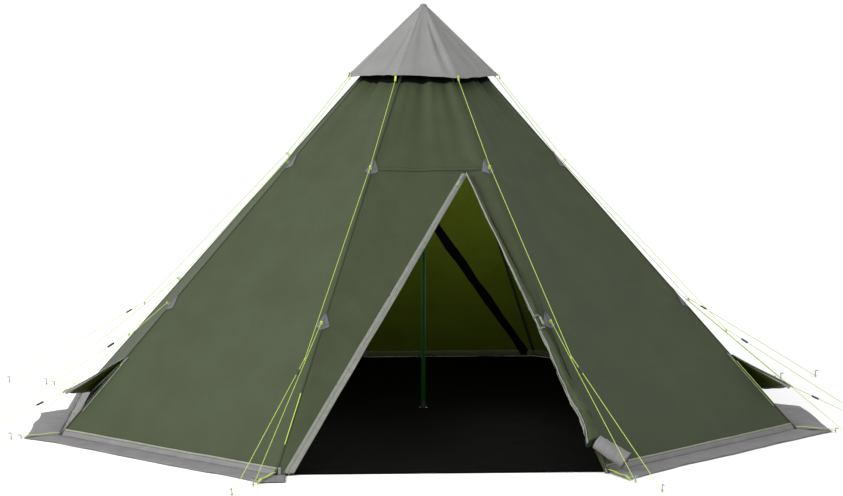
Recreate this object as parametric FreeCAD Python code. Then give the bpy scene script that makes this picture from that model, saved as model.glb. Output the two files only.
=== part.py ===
import FreeCAD, Part
import math
import os

# Eight-sided single-pole tent: eight fabric gores on a centre pole, a raised grey cap over the
# throat, a ground skirt, a front door rolled to one side, a closed back door, two low side vents
# and two guy lines on every seam. Millimetres, +Z up, front door towards -Y.
# The origin is on the ground under the centre pole.

# Driving dimensions
SIDES = 8
ACROSS_FLATS = 4340.0          # ground plan, measured between opposite walls
WALL_APEX = 2495.0             # height at which the eight walls would meet
FABRIC = 2.0                   # modelled thickness of wall cloth
SEAM_GAP = 1.5                 # each panel stops this far short of a seam
GROUND_GAP = 1.0               # wall cloth stops this far above the ground
THROAT_Z = 2140.0              # top of the wall cloth
MESH_TOP_Z = 2425.0            # top of the throat mesh

CAP_APEX = 2512.0
CAP_RIM_Z = 2073.0
CAP_APOTHEM = 448.0
CAP_CLOTH = 2.0
CAP_TOP_Z = 2500.0             # the cap panels stop here, round the peak
BINDING_HEIGHT = 16.0
BINDING_THICK = 1.2
CAP_LOOP = (12.0, 2.5, 30.0)   # width, thickness, length
CAP_LOOP_OUT = 4.0             # beyond the corner of the cap
CAP_LOOP_DROP = 12.0           # below the rim

POLE_RADIUS = 13.0
POLE_WALL = 1.5
POLE_CUTS = (36.0, 850.0, 1660.0, 2420.0)   # ends of the three sections
SWAGE_RADIUS = 11.3
SWAGE_LENGTH = 90.0
FOOT_RADIUS = 19.0
CROWN_RADIUS = 46.0
CROWN_DROP = 24.0              # the crown stops this far below the apex
SPIKE_RADIUS = 4.0

SHEET_THICK = 3.0
SHEET_INSET = 40.0
SKIRT_WIDTH = 200.0
SKIRT_THICK = 2.5

PANEL_SEAM_Z = 1552.0          # level seam above each door
DOOR_APEX = (208.0, 1540.0)    # across, height
DOOR_FOOT_LEFT = -845.0
DOOR_FOOT_RIGHT = 878.0
DOOR_GAP = 2.0
ZIP_HALF = 20.0                # half the width of a door's zip tape
ZIP_TAPE = 0.8
ZIP_END = 14.0                 # the tape stops this far from both ends of the opening
STORM_HALF = 32.0
SLIDER = (16.0, 7.0, 34.0)     # across, out, along
PULL = (6.0, 2.5, 55.0)
SLIDER_GAP = 0.4               # between a slider and its tape
FRONT_SLIDER_DROP = 35.0       # from the door's apex: the front door is open
BACK_SLIDER_Z = 95.0           # the back door is closed

ROLL_TOP_DROP = 20.0           # from the door's apex
ROLL_TOP_RADIUS = 14.0
ROLL_FOOT_RADIUS = 52.0
ROLL_FOOT_Z = 130.0
ROLL_SKIRT_RADIUS = 62.0
ROLL_CLEAR = 6.0               # between the roll and the wall
ROLL_FOOT_SHIFT = 12.0
BUNDLE_REACH = (115.0, 75.0)   # how far the skirt bundle runs sideways and forwards
BUNDLE_CLEAR = 8.0             # under the bundle's end
BUNDLE_TUCK = (6.0, -4.0, -4.0)   # where the bundle starts, from the foot of the roll
BUNDLE_SLIM = 4.0              # its start is this much slimmer than the roll
TIE_Z = 745.0
TIE_WIDTH = 22.0
TIE_SPACING = 0.045            # between the two ties, as a share of the roll
TIE_SLACK = 1.0
TIE_THICK = 1.5

VENT_TOP_Z = 440.0
VENT_FOOT_Z = 140.0
VENT_REACH = 700.0             # how far back the vent flap runs along the wall
VENT_OPEN = 22.0               # degrees that the flap stands open
FLAP_THICK = 1.5
FLAP_GAP = 3.0
SCREEN_THICK = 1.0
SCREEN_BORDER = 14.0
VENT_TAPE = (11.0, 31.0)       # edges of the vent's zip tape, measured from the seam
VENT_SLIDER = (11.0, 6.0, 24.0)
VENT_PULL = (6.0, 2.5, 36.0)
VENT_SLIDER_DROP = 22.0        # from the top of the vent zip

TAPE_WIDTH = 10.0
TAPE_EDGE = 0.5                # a seam tape stops this far from the seam
TAPE_THICK = 0.8
TAPE_FOOT_Z = 6.0
TAPE_HEAD = 5.0                # below the throat
UPPER_GUY_Z = 1550.0
LOWER_GUY_Z = 735.0
UPPER_STANDOFF = 28.0
LOWER_STANDOFF = 24.0
PATCH_UP = 56.0
PATCH_DOWN = 30.0
PATCH_OUT = 38.0
PATCH_EDGE = 0.8
LOOP = (12.0, 2.5)
LOOP_START = 2.8               # a loop leaves the seam this far out
LOOP_CLEAR = 0.3               # between a loop and its line
STRAP = (14.0, 1.5)            # hem straps out to the pegs: width, thickness
STRAP_SHORT = 10.0

LINE_RADIUS = 1.75
BEND_RADIUS = 45.0
JOIN_RHO = 1915.0              # where the upper guy line is tied to the lower one
LINE_TOP = (8.2, 18.0)         # out from the cap's corner, down from its rim
TIE_GAP = 18.0
TIE_CLEAR = 4.2                # the tie stops this far from each line's centre
FAR_PEG_RHO = 2912.0
NEAR_PEG_RHO = 2637.0
PEG_RADIUS = 3.5
PEG_HEIGHT = 42.0
HOOK_LENGTH = 20.0
LINE_END_Z = 10.0
HEM_PEG_RHO = 2578.0
HEM_PEG_HEIGHT = 26.0          # low enough to pass under the lower guy line
LINE_END_GAP = 1.6             # a line's square end stops this far short of its peg
VENT_PEG = (2680.0, -1010.0)
RUNNER = (46.0, 16.0, 9.0)     # along the line, across, thick
RUNNER_HOLE = 2.4
RUNNER_AT = 130.0              # distance below the tie
VENT_RUNNER_AT = 150.0
VENT_LINE_START = 8.0          # from the flap's corner
VENT_LINE_END = 1.5

# Derived sizes
HALF_SIDE = math.radians(180.0 / SIDES)
APOTHEM = ACROSS_FLATS / 2
CORNER = APOTHEM / math.cos(HALF_SIDE)
WALL = (WALL_APEX, APOTHEM / WALL_APEX)                       # apex height, run per unit of drop
CAP = (CAP_APEX, CAP_APOTHEM / (CAP_APEX - CAP_RIM_Z))
SEAM_NAMES = ("front_right", "right_front", "right_back", "back_right",
              "back_left", "left_back", "left_front", "front_left")
FRONT, RIGHT, BACK, LEFT = 0, 2, 4, 6
UP = FreeCAD.Vector(0, 0, 1)
ZERO = FreeCAD.Vector(0, 0, 0)

os.makedirs("parts", exist_ok=True)


def save(name, shapes):
    """Write one node from a list of separate solids."""
    shape = shapes[0] if len(shapes) == 1 else Part.makeCompound(shapes)
    if not shape.isValid():
        raise ValueError(name + " is not valid")
    shape.exportStep("parts/" + name + ".step")
    print(name, len(shape.Solids), "solids", round(shape.Volume / 1000.0, 1), "cm3")


def vec(x, y, z):
    return FreeCAD.Vector(x, y, z)


def turned(shape, degrees):
    copy = shape.copy()
    copy.rotate(ZERO, UP, degrees)
    return copy


def half_width(slope, z):
    """Half the width of one side of the pyramid at height z."""
    return slope[1] * (slope[0] - z) * math.tan(HALF_SIDE)


def outward(slope):
    """Outward normal of the front side."""
    length = math.hypot(1.0, slope[1])
    return vec(0, -1.0 / length, slope[1] / length)


def on_side(slope, u, z, offset=0.0):
    """A point of the front side, u across, z up, offset outwards."""
    return vec(u, -slope[1] * (slope[0] - z), z) + outward(slope) * offset


def panel(slope, outline, thick, side=FRONT, offset=0.0):
    """A flat sheet of cloth on one side; offset lifts its outer face off the wall."""
    corners = [on_side(slope, u, z, offset) for u, z in outline]
    face = Part.Face(Part.makePolygon(corners + corners[:1]))
    return turned(face.extrude(outward(slope) * -thick), side * 360.0 / SIDES)


def band(slope, low, high, trim=SEAM_GAP):
    """Outline of a whole side between two heights."""
    return [(-half_width(slope, low) + trim, low), (half_width(slope, low) - trim, low),
            (half_width(slope, high) - trim, high), (-half_width(slope, high) + trim, high)]


def seam_point(rho, z, seam, across=0.0):
    """A point in the upright plane of a seam, rho out from the pole."""
    angle = math.radians(-90.0 + (seam + 0.5) * 360.0 / SIDES)
    return vec(rho * math.cos(angle) - across * math.sin(angle),
               rho * math.sin(angle) + across * math.cos(angle), z)


def seam_rho(z):
    return CORNER * (1 - z / WALL_APEX)


def in_seam_plane(shape, seam):
    """Turn a shape made in the +X, Z plane into the plane of a seam."""
    return turned(shape, -90.0 + (seam + 0.5) * 360.0 / SIDES)


def rod(start, end, radius):
    return Part.makeCylinder(radius, (end - start).Length, start, end - start)


def taut_line(points, name):
    """A cord tube of straight runs joined by tangent arcs, checked against its length."""
    edges = []
    radii = []
    start = points[0]
    length = 0.0
    for before, corner, after in zip(points, points[1:], points[2:]):
        into = (corner - before).normalize()
        out = (after - corner).normalize()
        half_turn = into.getAngle(out) / 2
        set_back = BEND_RADIUS * math.tan(half_turn)
        middle = corner + (out - into).normalize() * BEND_RADIUS * (1 / math.cos(half_turn) - 1)
        first = corner - into * set_back
        last = corner + out * set_back
        edges.append(Part.LineSegment(start, first).toShape())
        edges.append(Part.Arc(first, middle, last).toShape())
        length += (first - start).Length + BEND_RADIUS * 2 * half_turn
        radii.append(BEND_RADIUS)
        start = last
    edges.append(Part.LineSegment(start, points[-1]).toShape())
    length += (points[-1] - start).Length
    path = Part.Wire(edges)
    circle = Part.makeCircle(LINE_RADIUS, points[0], points[1] - points[0])
    tube = path.makePipeShell([Part.Wire([circle])], True, False)
    ratio = tube.Volume / (math.pi * LINE_RADIUS ** 2 * length)
    print(name, "length", round(length), "radii", radii, "volume ratio", round(ratio, 4))
    return tube


def block(size, centre):
    return Part.makeBox(size[0], size[1], size[2],
                        centre - vec(size[0] / 2, size[1] / 2, size[2] / 2))


def along(shape, centre, direction, out):
    """Lay a shape made at the origin, its X along direction and its Z outwards."""
    x = direction.normalize()
    z = (out - x * out.dot(x)).normalize()
    y = z.cross(x)
    matrix = FreeCAD.Matrix(x.x, y.x, z.x, centre.x, x.y, y.y, z.y, centre.y,
                            x.z, y.z, z.z, centre.z, 0, 0, 0, 1)
    return shape.transformGeometry(matrix)


# Centre pole: three swaged tubes, a foot on the groundsheet and a crown under the throat
def pole_section(low, high, swaged):
    tube = Part.makeCylinder(POLE_RADIUS, high - low, vec(0, 0, low))
    tube = tube.cut(Part.makeCylinder(POLE_RADIUS - POLE_WALL, high - low, vec(0, 0, low)))
    if swaged:
        neck = Part.makeCylinder(SWAGE_RADIUS, 2 * SWAGE_LENGTH, vec(0, 0, high - SWAGE_LENGTH))
        neck = neck.cut(Part.makeCylinder(SWAGE_RADIUS - POLE_WALL, 2 * SWAGE_LENGTH,
                                          vec(0, 0, high - SWAGE_LENGTH)))
        ring = Part.makeCylinder(POLE_RADIUS - POLE_WALL, POLE_WALL, vec(0, 0, high - POLE_WALL))
        ring = ring.cut(Part.makeCylinder(SWAGE_RADIUS - POLE_WALL, POLE_WALL,
                                          vec(0, 0, high - POLE_WALL)))
        tube = tube.fuse([neck, ring]).removeSplitter()
    return tube


for name, low, high, swaged in (("pole_lower", POLE_CUTS[0], POLE_CUTS[1], True),
                                ("pole_middle", POLE_CUTS[1], POLE_CUTS[2], True),
                                ("pole_upper", POLE_CUTS[2], POLE_CUTS[3], False)):
    save(name, [pole_section(low, high, swaged)])

foot = Part.makeCone(FOOT_RADIUS, POLE_RADIUS + 1, POLE_CUTS[0] - SHEET_THICK, vec(0, 0, SHEET_THICK))
crown_top = WALL_APEX - CROWN_DROP
crown = Part.makeCone(CROWN_RADIUS, POLE_RADIUS, crown_top - POLE_CUTS[3], vec(0, 0, POLE_CUTS[3]))
spike = Part.makeCylinder(SPIKE_RADIUS, CAP_TOP_Z - crown_top, vec(0, 0, crown_top))
save("pole_end_caps", [foot, crown.fuse(spike).removeSplitter()])

# Cap: eight panels over the throat, a binding round the rim and a webbing loop on each corner
cap_panels = []
binding = []
for side in range(SIDES):
    cap_panels.append(panel(CAP, band(CAP, CAP_RIM_Z, CAP_TOP_Z), CAP_CLOTH, side))
    hem = band(CAP, CAP_RIM_Z, CAP_RIM_Z + BINDING_HEIGHT, 0.0)
    binding.append(panel(CAP, hem, BINDING_THICK, side, BINDING_THICK))
cap_corner = CAP_APOTHEM / math.cos(HALF_SIDE)
for seam in range(SIDES):
    tab_place = vec(cap_corner + CAP_LOOP_OUT, 0, CAP_RIM_Z - CAP_LOOP_DROP)
    tab = block((CAP_LOOP[1], CAP_LOOP[0], CAP_LOOP[2]), tab_place)
    binding.append(in_seam_plane(tab, seam))
save("cap", cap_panels)
save("cap_binding", binding)
mesh_outline = band(WALL, THROAT_Z + 1.0, MESH_TOP_Z)
save("throat_mesh", [panel(WALL, mesh_outline, SCREEN_THICK, side) for side in range(SIDES)])


# Door outline: a leaning triangle in the front and back sides
def zip_u(z):
    """Across position of the zip edge of a door."""
    share = z / DOOR_APEX[1]
    return DOOR_FOOT_LEFT + (DOOR_APEX[0] - DOOR_FOOT_LEFT) * share


def hinge_u(z):
    """Across position of the edge that the door is rolled to."""
    share = z / DOOR_APEX[1]
    return DOOR_FOOT_RIGHT + (DOOR_APEX[0] - DOOR_FOOT_RIGHT) * share


low = GROUND_GAP
seam_top = PANEL_SEAM_Z - DOOR_GAP / 2
wide_top = half_width(WALL, seam_top) - SEAM_GAP
wide_low = half_width(WALL, low) - SEAM_GAP
apex_u, apex_z = DOOR_APEX
over_door = band(WALL, PANEL_SEAM_Z + DOOR_GAP / 2, THROAT_Z)
zip_side = [(-wide_low, low), (zip_u(low) - DOOR_GAP, low), (apex_u - DOOR_GAP, apex_z),
            (apex_u - DOOR_GAP, seam_top), (-wide_top, seam_top)]
hinge_side = [(hinge_u(low) + DOOR_GAP, low), (wide_low, low), (wide_top, seam_top),
              (apex_u + DOOR_GAP, seam_top), (apex_u + DOOR_GAP, apex_z)]
leaf = [(zip_u(low) + DOOR_GAP, low), (hinge_u(low) - DOOR_GAP, low), (apex_u, apex_z - 2 * DOOR_GAP)]
for name, side in (("front_wall", FRONT), ("back_wall", BACK)):
    save(name, [panel(WALL, outline, FABRIC, side) for outline in (over_door, zip_side, hinge_side)])
save("back_door", [panel(WALL, leaf, FABRIC, BACK)])

tape_low, tape_high = ZIP_END, apex_z - ZIP_END
tape = [(zip_u(tape_low) - ZIP_HALF, tape_low), (zip_u(tape_low) + ZIP_HALF, tape_low),
        (zip_u(tape_high) + ZIP_HALF, tape_high), (zip_u(tape_high) - ZIP_HALF, tape_high)]
save("door_zips", [panel(WALL, tape, ZIP_TAPE, side, ZIP_TAPE) for side in (FRONT, BACK)])
storm = [(zip_u(tape_low) - STORM_HALF, tape_low), (zip_u(tape_low) + STORM_HALF, tape_low),
         (zip_u(tape_high) + STORM_HALF, tape_high), (zip_u(tape_high) - STORM_HALF, tape_high)]
save("storm_flap", [panel(WALL, storm, SCREEN_THICK, BACK, -FABRIC)])


def zip_slider(size, pull, low_point, high_point, centre, out):
    """A slider and its pull tab, lying on a tape that runs from low_point to high_point."""
    body = block((size[2], size[0], size[1]), vec(0, 0, size[1] / 2))
    tab = block((pull[2], pull[0], pull[1]), vec(-(size[2] + pull[2]) / 2, 0, size[1] / 2))
    return along(body.fuse(tab).removeSplitter(), centre, high_point - low_point, out)


zip_ends = (on_side(WALL, zip_u(0), 0), on_side(WALL, apex_u, apex_z))
lift = outward(WALL) * (ZIP_TAPE + SLIDER_GAP)
front_slider_z = apex_z - FRONT_SLIDER_DROP
front_centre = on_side(WALL, zip_u(front_slider_z), front_slider_z) + lift
back_centre = on_side(WALL, zip_u(BACK_SLIDER_Z), BACK_SLIDER_Z) + lift
save("front_zip_slider", [zip_slider(SLIDER, PULL, *zip_ends, front_centre, outward(WALL))])
back_slider = zip_slider(SLIDER, PULL, *zip_ends, back_centre, outward(WALL))
save("back_zip_slider", [turned(back_slider, BACK * 360.0 / SIDES)])

# Front door, rolled up along its hinge edge, and the roll of its skirt at the foot
roll_top_z = apex_z - ROLL_TOP_DROP
roll_top = on_side(WALL, hinge_u(roll_top_z), roll_top_z, ROLL_TOP_RADIUS + ROLL_CLEAR)
roll_foot = on_side(WALL, hinge_u(ROLL_FOOT_Z) + ROLL_FOOT_SHIFT, ROLL_FOOT_Z,
                    ROLL_FOOT_RADIUS + ROLL_CLEAR)
roll_axis = roll_foot - roll_top
roll = Part.makeCone(ROLL_TOP_RADIUS, ROLL_FOOT_RADIUS, roll_axis.Length, roll_top, roll_axis)
bundle_start = roll_foot + vec(*BUNDLE_TUCK)
bundle_end = vec(DOOR_FOOT_RIGHT + BUNDLE_REACH[0], roll_foot.y - BUNDLE_REACH[1],
                 ROLL_SKIRT_RADIUS + BUNDLE_CLEAR)
bundle_axis = bundle_end - bundle_start
bundle = Part.makeCone(ROLL_FOOT_RADIUS - BUNDLE_SLIM, ROLL_SKIRT_RADIUS, bundle_axis.Length,
                       bundle_start, bundle_axis)
bundle = bundle.cut(roll).Solids[0]
save("door_roll", [roll, bundle])

# Two ties that hold the roll against the hinge edge
ties = []
tie_share = (roll_top.z - TIE_Z) / (roll_top.z - roll_foot.z)
for shift in (0.0, TIE_SPACING):
    share = tie_share + shift
    centre = roll_top + roll_axis * share
    radius = ROLL_TOP_RADIUS + (ROLL_FOOT_RADIUS - ROLL_TOP_RADIUS) * share + TIE_SLACK
    ring = Part.makeCylinder(radius + TIE_THICK, TIE_WIDTH, centre, roll_axis)
    ties.append(ring.cut(Part.makeCylinder(radius, TIE_WIDTH, centre, roll_axis)))
save("door_ties", ties)


# Side walls: cloth above, a grey sill along the ground, and a vent between at the front seam
def vent_outlines(mirror):
    """Corners on a side wall; mirror is -1 where the front seam is at negative u."""
    top = half_width(WALL, VENT_TOP_Z)
    foot = half_width(WALL, VENT_FOOT_Z)
    gap = SEAM_GAP
    hinge_top = (mirror * top, VENT_TOP_Z)
    corner = (mirror * foot, VENT_FOOT_Z)
    heel = (mirror * (foot - VENT_REACH), VENT_FOOT_Z)
    upper = band(WALL, VENT_TOP_Z + gap, THROAT_Z)
    rear = [(mirror * (top - FLAP_GAP - gap), VENT_TOP_Z - gap), (heel[0] - mirror * gap, heel[1] + gap),
            (-mirror * (foot - gap), VENT_FOOT_Z + gap), (-mirror * (top - gap), VENT_TOP_Z - gap)]
    sill = band(WALL, GROUND_GAP, VENT_FOOT_Z - gap)
    flap = [(corner[0] - mirror * FLAP_GAP, VENT_FOOT_Z + FLAP_GAP),
            (heel[0] + mirror * 4 * FLAP_GAP, VENT_FOOT_Z + FLAP_GAP),
            (hinge_top[0] - mirror * 2 * FLAP_GAP, VENT_TOP_Z - 4 * FLAP_GAP)]
    screen = [(corner[0] - mirror * 8, VENT_FOOT_Z - SCREEN_BORDER),
              (heel[0] - mirror * 2 * SCREEN_BORDER, VENT_FOOT_Z - SCREEN_BORDER),
              (hinge_top[0] - mirror * 3 * SCREEN_BORDER, VENT_TOP_Z + SCREEN_BORDER),
              (hinge_top[0] - mirror * 8, VENT_TOP_Z + SCREEN_BORDER)]
    return hinge_top, heel, upper, rear, sill, flap, screen


side_cloth = []
sills = []
screens = []
flap_corners = {}
for side_name, side, mirror in (("right", RIGHT, -1), ("left", LEFT, 1)):
    hinge_top, heel, upper, rear, sill, flap, screen = vent_outlines(mirror)
    side_cloth += [panel(WALL, upper, FABRIC, side), panel(WALL, rear, FABRIC, side)]
    sills.append(panel(WALL, sill, FABRIC, side))
    screens.append(panel(WALL, screen, SCREEN_THICK, side, -FABRIC))
    turn = FreeCAD.Rotation(UP, side * 360.0 / SIDES)
    fold_top = turn.multVec(on_side(WALL, *hinge_top))
    fold_heel = turn.multVec(on_side(WALL, *heel))
    fold_axis = (fold_heel - fold_top).normalize() * mirror
    open_flap = panel(WALL, flap, FLAP_THICK, side)
    open_flap.rotate(fold_top, fold_axis, VENT_OPEN)
    tip = turn.multVec(on_side(WALL, mirror * half_width(WALL, VENT_FOOT_Z), VENT_FOOT_Z)) - fold_top
    tip = FreeCAD.Rotation(fold_axis, VENT_OPEN).multVec(tip) + fold_top
    flap_corners[side_name] = tip
    save(side_name + "_vent_flap", [open_flap])
    print(side_name, "vent fold at", fold_top, "axis", fold_axis, "corner", tip)
save("side_walls", side_cloth)
save("vent_sills", sills)
save("vent_screens", screens)
corner_sides = [side for side in range(SIDES) if side not in (FRONT, RIGHT, BACK, LEFT)]
save("corner_walls", [panel(WALL, band(WALL, low, THROAT_Z), FABRIC, side) for side in corner_sides])

# Vent zips lie on the corner walls beside the front seams of the side walls
vent_tapes = []
for side_name, side, edge in (("right", 1, 1), ("left", 7, -1)):
    feet = [(edge * (half_width(WALL, z) - inset), z)
            for z, inset in ((VENT_FOOT_Z, VENT_TAPE[1]), (VENT_FOOT_Z, VENT_TAPE[0]),
                             (VENT_TOP_Z, VENT_TAPE[0]), (VENT_TOP_Z, VENT_TAPE[1]))]
    vent_tapes.append(panel(WALL, feet, ZIP_TAPE, side, ZIP_TAPE))
    middle = sum(VENT_TAPE) / 2
    zip_low = on_side(WALL, edge * (half_width(WALL, VENT_FOOT_Z) - middle), VENT_FOOT_Z)
    zip_high = on_side(WALL, edge * (half_width(WALL, VENT_TOP_Z) - middle), VENT_TOP_Z)
    centre = zip_high + (zip_low - zip_high).normalize() * VENT_SLIDER_DROP + lift
    slider = zip_slider(VENT_SLIDER, VENT_PULL, zip_low, zip_high, centre, outward(WALL))
    save(side_name + "_vent_slider", [turned(slider, side * 360.0 / SIDES)])
save("vent_zips", vent_tapes)


# Groundsheet and ground skirt
def octagon(apothem, z, thick):
    corners = [seam_point(apothem / math.cos(HALF_SIDE), z, seam) for seam in range(SIDES)]
    return Part.Face(Part.makePolygon(corners + corners[:1])).extrude(UP * thick)


def ground_strip(u_low, u_high, side):
    """A piece of skirt between two across positions, given at the wall foot."""
    outer = APOTHEM + SKIRT_WIDTH
    spread = SKIRT_WIDTH * math.tan(HALF_SIDE)
    grow_low = spread if u_low < -wide_low + 5 else 0.0
    grow_high = spread if u_high > wide_low - 5 else 0.0
    corners = [vec(u_low, -APOTHEM - 2, 0), vec(u_high, -APOTHEM - 2, 0),
               vec(u_high + grow_high, -outer, 0), vec(u_low - grow_low, -outer, 0)]
    strip = Part.Face(Part.makePolygon(corners + corners[:1])).extrude(UP * SKIRT_THICK)
    return turned(strip, side * 360.0 / SIDES)


save("groundsheet", [octagon(APOTHEM - SHEET_INSET, 0, SHEET_THICK)])
strips = [ground_strip(-wide_low, wide_low, side) for side in range(1, SIDES)]
strips.append(ground_strip(-wide_low, DOOR_FOOT_LEFT, FRONT))
save("ground_skirt", strips)

# Seam tapes: a strip down each side of every seam, left out beside the vents
tapes = []
for side in range(SIDES):
    for edge in (-1, 1):
        beside_vent = (side, edge) in ((RIGHT, -1), (LEFT, 1))
        foot_z = VENT_TOP_Z + 2 * TAPE_WIDTH if beside_vent else TAPE_FOOT_Z
        head_z = THROAT_Z - TAPE_HEAD
        outline = [(edge * (half_width(WALL, z) - inset), z)
                   for z, inset in ((foot_z, TAPE_WIDTH), (foot_z, TAPE_EDGE),
                                    (head_z, TAPE_EDGE), (head_z, TAPE_WIDTH))]
        tapes.append(panel(WALL, outline, TAPE_THICK, side, TAPE_THICK))
save("seam_tapes", tapes)

# Guy points: a patch on both sides of the seam and a webbing loop that stands off it
patches = []
loops = []
seam_out = vec(WALL_APEX, 0, CORNER).normalize()
seam_down = vec(CORNER, 0, -WALL_APEX).normalize()
for guy_z, standoff in ((UPPER_GUY_Z, UPPER_STANDOFF), (LOWER_GUY_Z, LOWER_STANDOFF)):
    for side in range(SIDES):
        for edge in (-1, 1):
            outline = [(edge * (half_width(WALL, guy_z + PATCH_UP) - PATCH_EDGE), guy_z + PATCH_UP),
                       (edge * (half_width(WALL, guy_z - PATCH_DOWN) - PATCH_EDGE), guy_z - PATCH_DOWN),
                       (edge * (half_width(WALL, guy_z) - PATCH_OUT), guy_z - PATCH_DOWN / 2)]
            patches.append(panel(WALL, outline, TAPE_THICK, side, 2 * TAPE_THICK))
    for seam in range(SIDES):
        root = vec(seam_rho(guy_z), 0, guy_z)
        reach = standoff - LINE_RADIUS - LOOP_CLEAR
        tab = block((reach - LOOP_START, LOOP[0], LOOP[1]), vec((reach + LOOP_START) / 2, 0, 0))
        loops.append(in_seam_plane(along(tab, root, seam_out, seam_down), seam))
for seam in range(SIDES):
    strap = block((HEM_PEG_RHO - CORNER - STRAP_SHORT, *STRAP),
                  vec((HEM_PEG_RHO + CORNER) / 2, 0, SKIRT_THICK + 1.0))
    loops.append(in_seam_plane(strap, seam))
save("guy_patches", patches)
save("guy_loops", loops)


# Guy lines, pegs and runners
def peg(rho, height=PEG_HEIGHT):
    """Steel peg with its hook turned away from the tent, cut off at ground level."""
    shaft = Part.makeCylinder(PEG_RADIUS, height, vec(rho, 0, 0.5))
    hook = Part.makeCylinder(PEG_RADIUS, HOOK_LENGTH, vec(rho, 0, height), vec(1, 0, 0))
    return shaft.fuse(hook).removeSplitter()


def runner(centre, direction):
    """A flat plastic runner threaded on a line."""
    bar = block((RUNNER[0], RUNNER[1], RUNNER[2]), ZERO)
    hole = Part.makeCylinder(RUNNER_HOLE, 2 * RUNNER[0], vec(-RUNNER[0], 0, 0), vec(1, 0, 0))
    return along(bar.cut(hole), centre, direction, UP)


pegs = []
junctions = []
upper_loop = vec(seam_rho(UPPER_GUY_Z), 0, UPPER_GUY_Z) + seam_out * UPPER_STANDOFF
lower_loop = vec(seam_rho(LOWER_GUY_Z), 0, LOWER_GUY_Z) + seam_out * LOWER_STANDOFF
near_end = (NEAR_PEG_RHO - PEG_RADIUS - LINE_END_GAP, LINE_END_Z)
far_end = (FAR_PEG_RHO - PEG_RADIUS - LINE_END_GAP, LINE_END_Z)
lower_drop = (lower_loop.z - near_end[1]) / (near_end[0] - lower_loop.x)
lower_join_z = lower_loop.z - lower_drop * (JOIN_RHO - lower_loop.x)
join_z = lower_join_z + TIE_GAP
line_top = (cap_corner + LINE_TOP[0], CAP_RIM_Z - LINE_TOP[1])
upper_route = (line_top, (upper_loop.x, upper_loop.z), (JOIN_RHO, join_z), far_end)
lower_route = ((lower_loop.x, lower_loop.z), near_end)
for seam, seam_name in enumerate(SEAM_NAMES):
    upper_points = [seam_point(rho, z, seam) for rho, z in upper_route]
    lower_points = [seam_point(rho, z, seam) for rho, z in lower_route]
    save("upper_guy_" + seam_name, [taut_line(upper_points, "upper guy " + seam_name)])
    save("lower_guy_" + seam_name, [taut_line(lower_points, "lower guy " + seam_name)])
    slope = upper_points[3] - upper_points[2]
    place = upper_points[2] + vec(*slope).normalize() * RUNNER_AT
    save("runner_" + seam_name, [runner(place, slope)])
    pegs += [in_seam_plane(peg(rho), seam) for rho in (FAR_PEG_RHO, NEAR_PEG_RHO)]
    pegs.append(in_seam_plane(peg(HEM_PEG_RHO, HEM_PEG_HEIGHT), seam))
    tie_low = seam_point(JOIN_RHO, lower_join_z + TIE_CLEAR, seam)
    tie_high = seam_point(JOIN_RHO, join_z - TIE_CLEAR, seam)
    junctions.append(rod(tie_low, tie_high, LINE_RADIUS))
print("upper route", upper_route, "lower route", lower_route)

for side_name, mirror in (("right", 1), ("left", -1)):
    tip = flap_corners[side_name]
    peg_place = vec(VENT_PEG[0] * mirror, VENT_PEG[1], LINE_END_Z)
    pull_line = (peg_place - tip).normalize()
    start = tip + pull_line * VENT_LINE_START
    end = peg_place - pull_line * (PEG_RADIUS + VENT_LINE_END)
    save("vent_guy_" + side_name, [taut_line([start, end], "vent guy " + side_name)])
    save("vent_runner_" + side_name, [runner(start + pull_line * VENT_RUNNER_AT, end - start)])
    bearing = math.degrees(math.atan2(VENT_PEG[1], VENT_PEG[0] * mirror))
    pegs.append(turned(peg(math.hypot(*VENT_PEG)), bearing))
    print("vent guy", side_name, start, end)
save("pegs", pegs)
save("junction_ties", junctions)
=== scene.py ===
import math

import bmesh
import bpy
from mathutils import Matrix, Vector, noise


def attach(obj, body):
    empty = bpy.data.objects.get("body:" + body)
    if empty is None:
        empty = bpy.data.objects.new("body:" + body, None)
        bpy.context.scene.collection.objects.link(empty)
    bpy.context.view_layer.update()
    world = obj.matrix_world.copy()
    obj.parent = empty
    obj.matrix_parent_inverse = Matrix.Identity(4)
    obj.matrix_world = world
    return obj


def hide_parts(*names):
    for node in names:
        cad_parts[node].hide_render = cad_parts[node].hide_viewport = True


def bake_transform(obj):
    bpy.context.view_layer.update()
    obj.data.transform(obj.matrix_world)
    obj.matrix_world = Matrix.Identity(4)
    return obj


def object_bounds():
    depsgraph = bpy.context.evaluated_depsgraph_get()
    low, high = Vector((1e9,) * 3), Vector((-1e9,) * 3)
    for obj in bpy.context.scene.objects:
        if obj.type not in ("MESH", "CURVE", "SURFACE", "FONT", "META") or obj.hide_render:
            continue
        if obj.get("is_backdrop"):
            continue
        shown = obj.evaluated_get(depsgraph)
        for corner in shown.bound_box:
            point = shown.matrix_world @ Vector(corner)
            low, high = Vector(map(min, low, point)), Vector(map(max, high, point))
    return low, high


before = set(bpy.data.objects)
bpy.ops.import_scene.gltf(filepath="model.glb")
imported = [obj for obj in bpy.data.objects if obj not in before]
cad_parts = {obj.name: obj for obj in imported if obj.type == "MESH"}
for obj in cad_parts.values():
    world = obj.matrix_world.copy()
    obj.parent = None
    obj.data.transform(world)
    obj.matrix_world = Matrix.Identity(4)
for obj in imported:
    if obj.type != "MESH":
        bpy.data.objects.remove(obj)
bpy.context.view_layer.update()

# Eight-sided single-pole tent in metres, +Z up, front door towards -Y, the pole foot at the origin.
# Everything is placed from the sizes below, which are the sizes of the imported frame.

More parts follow.
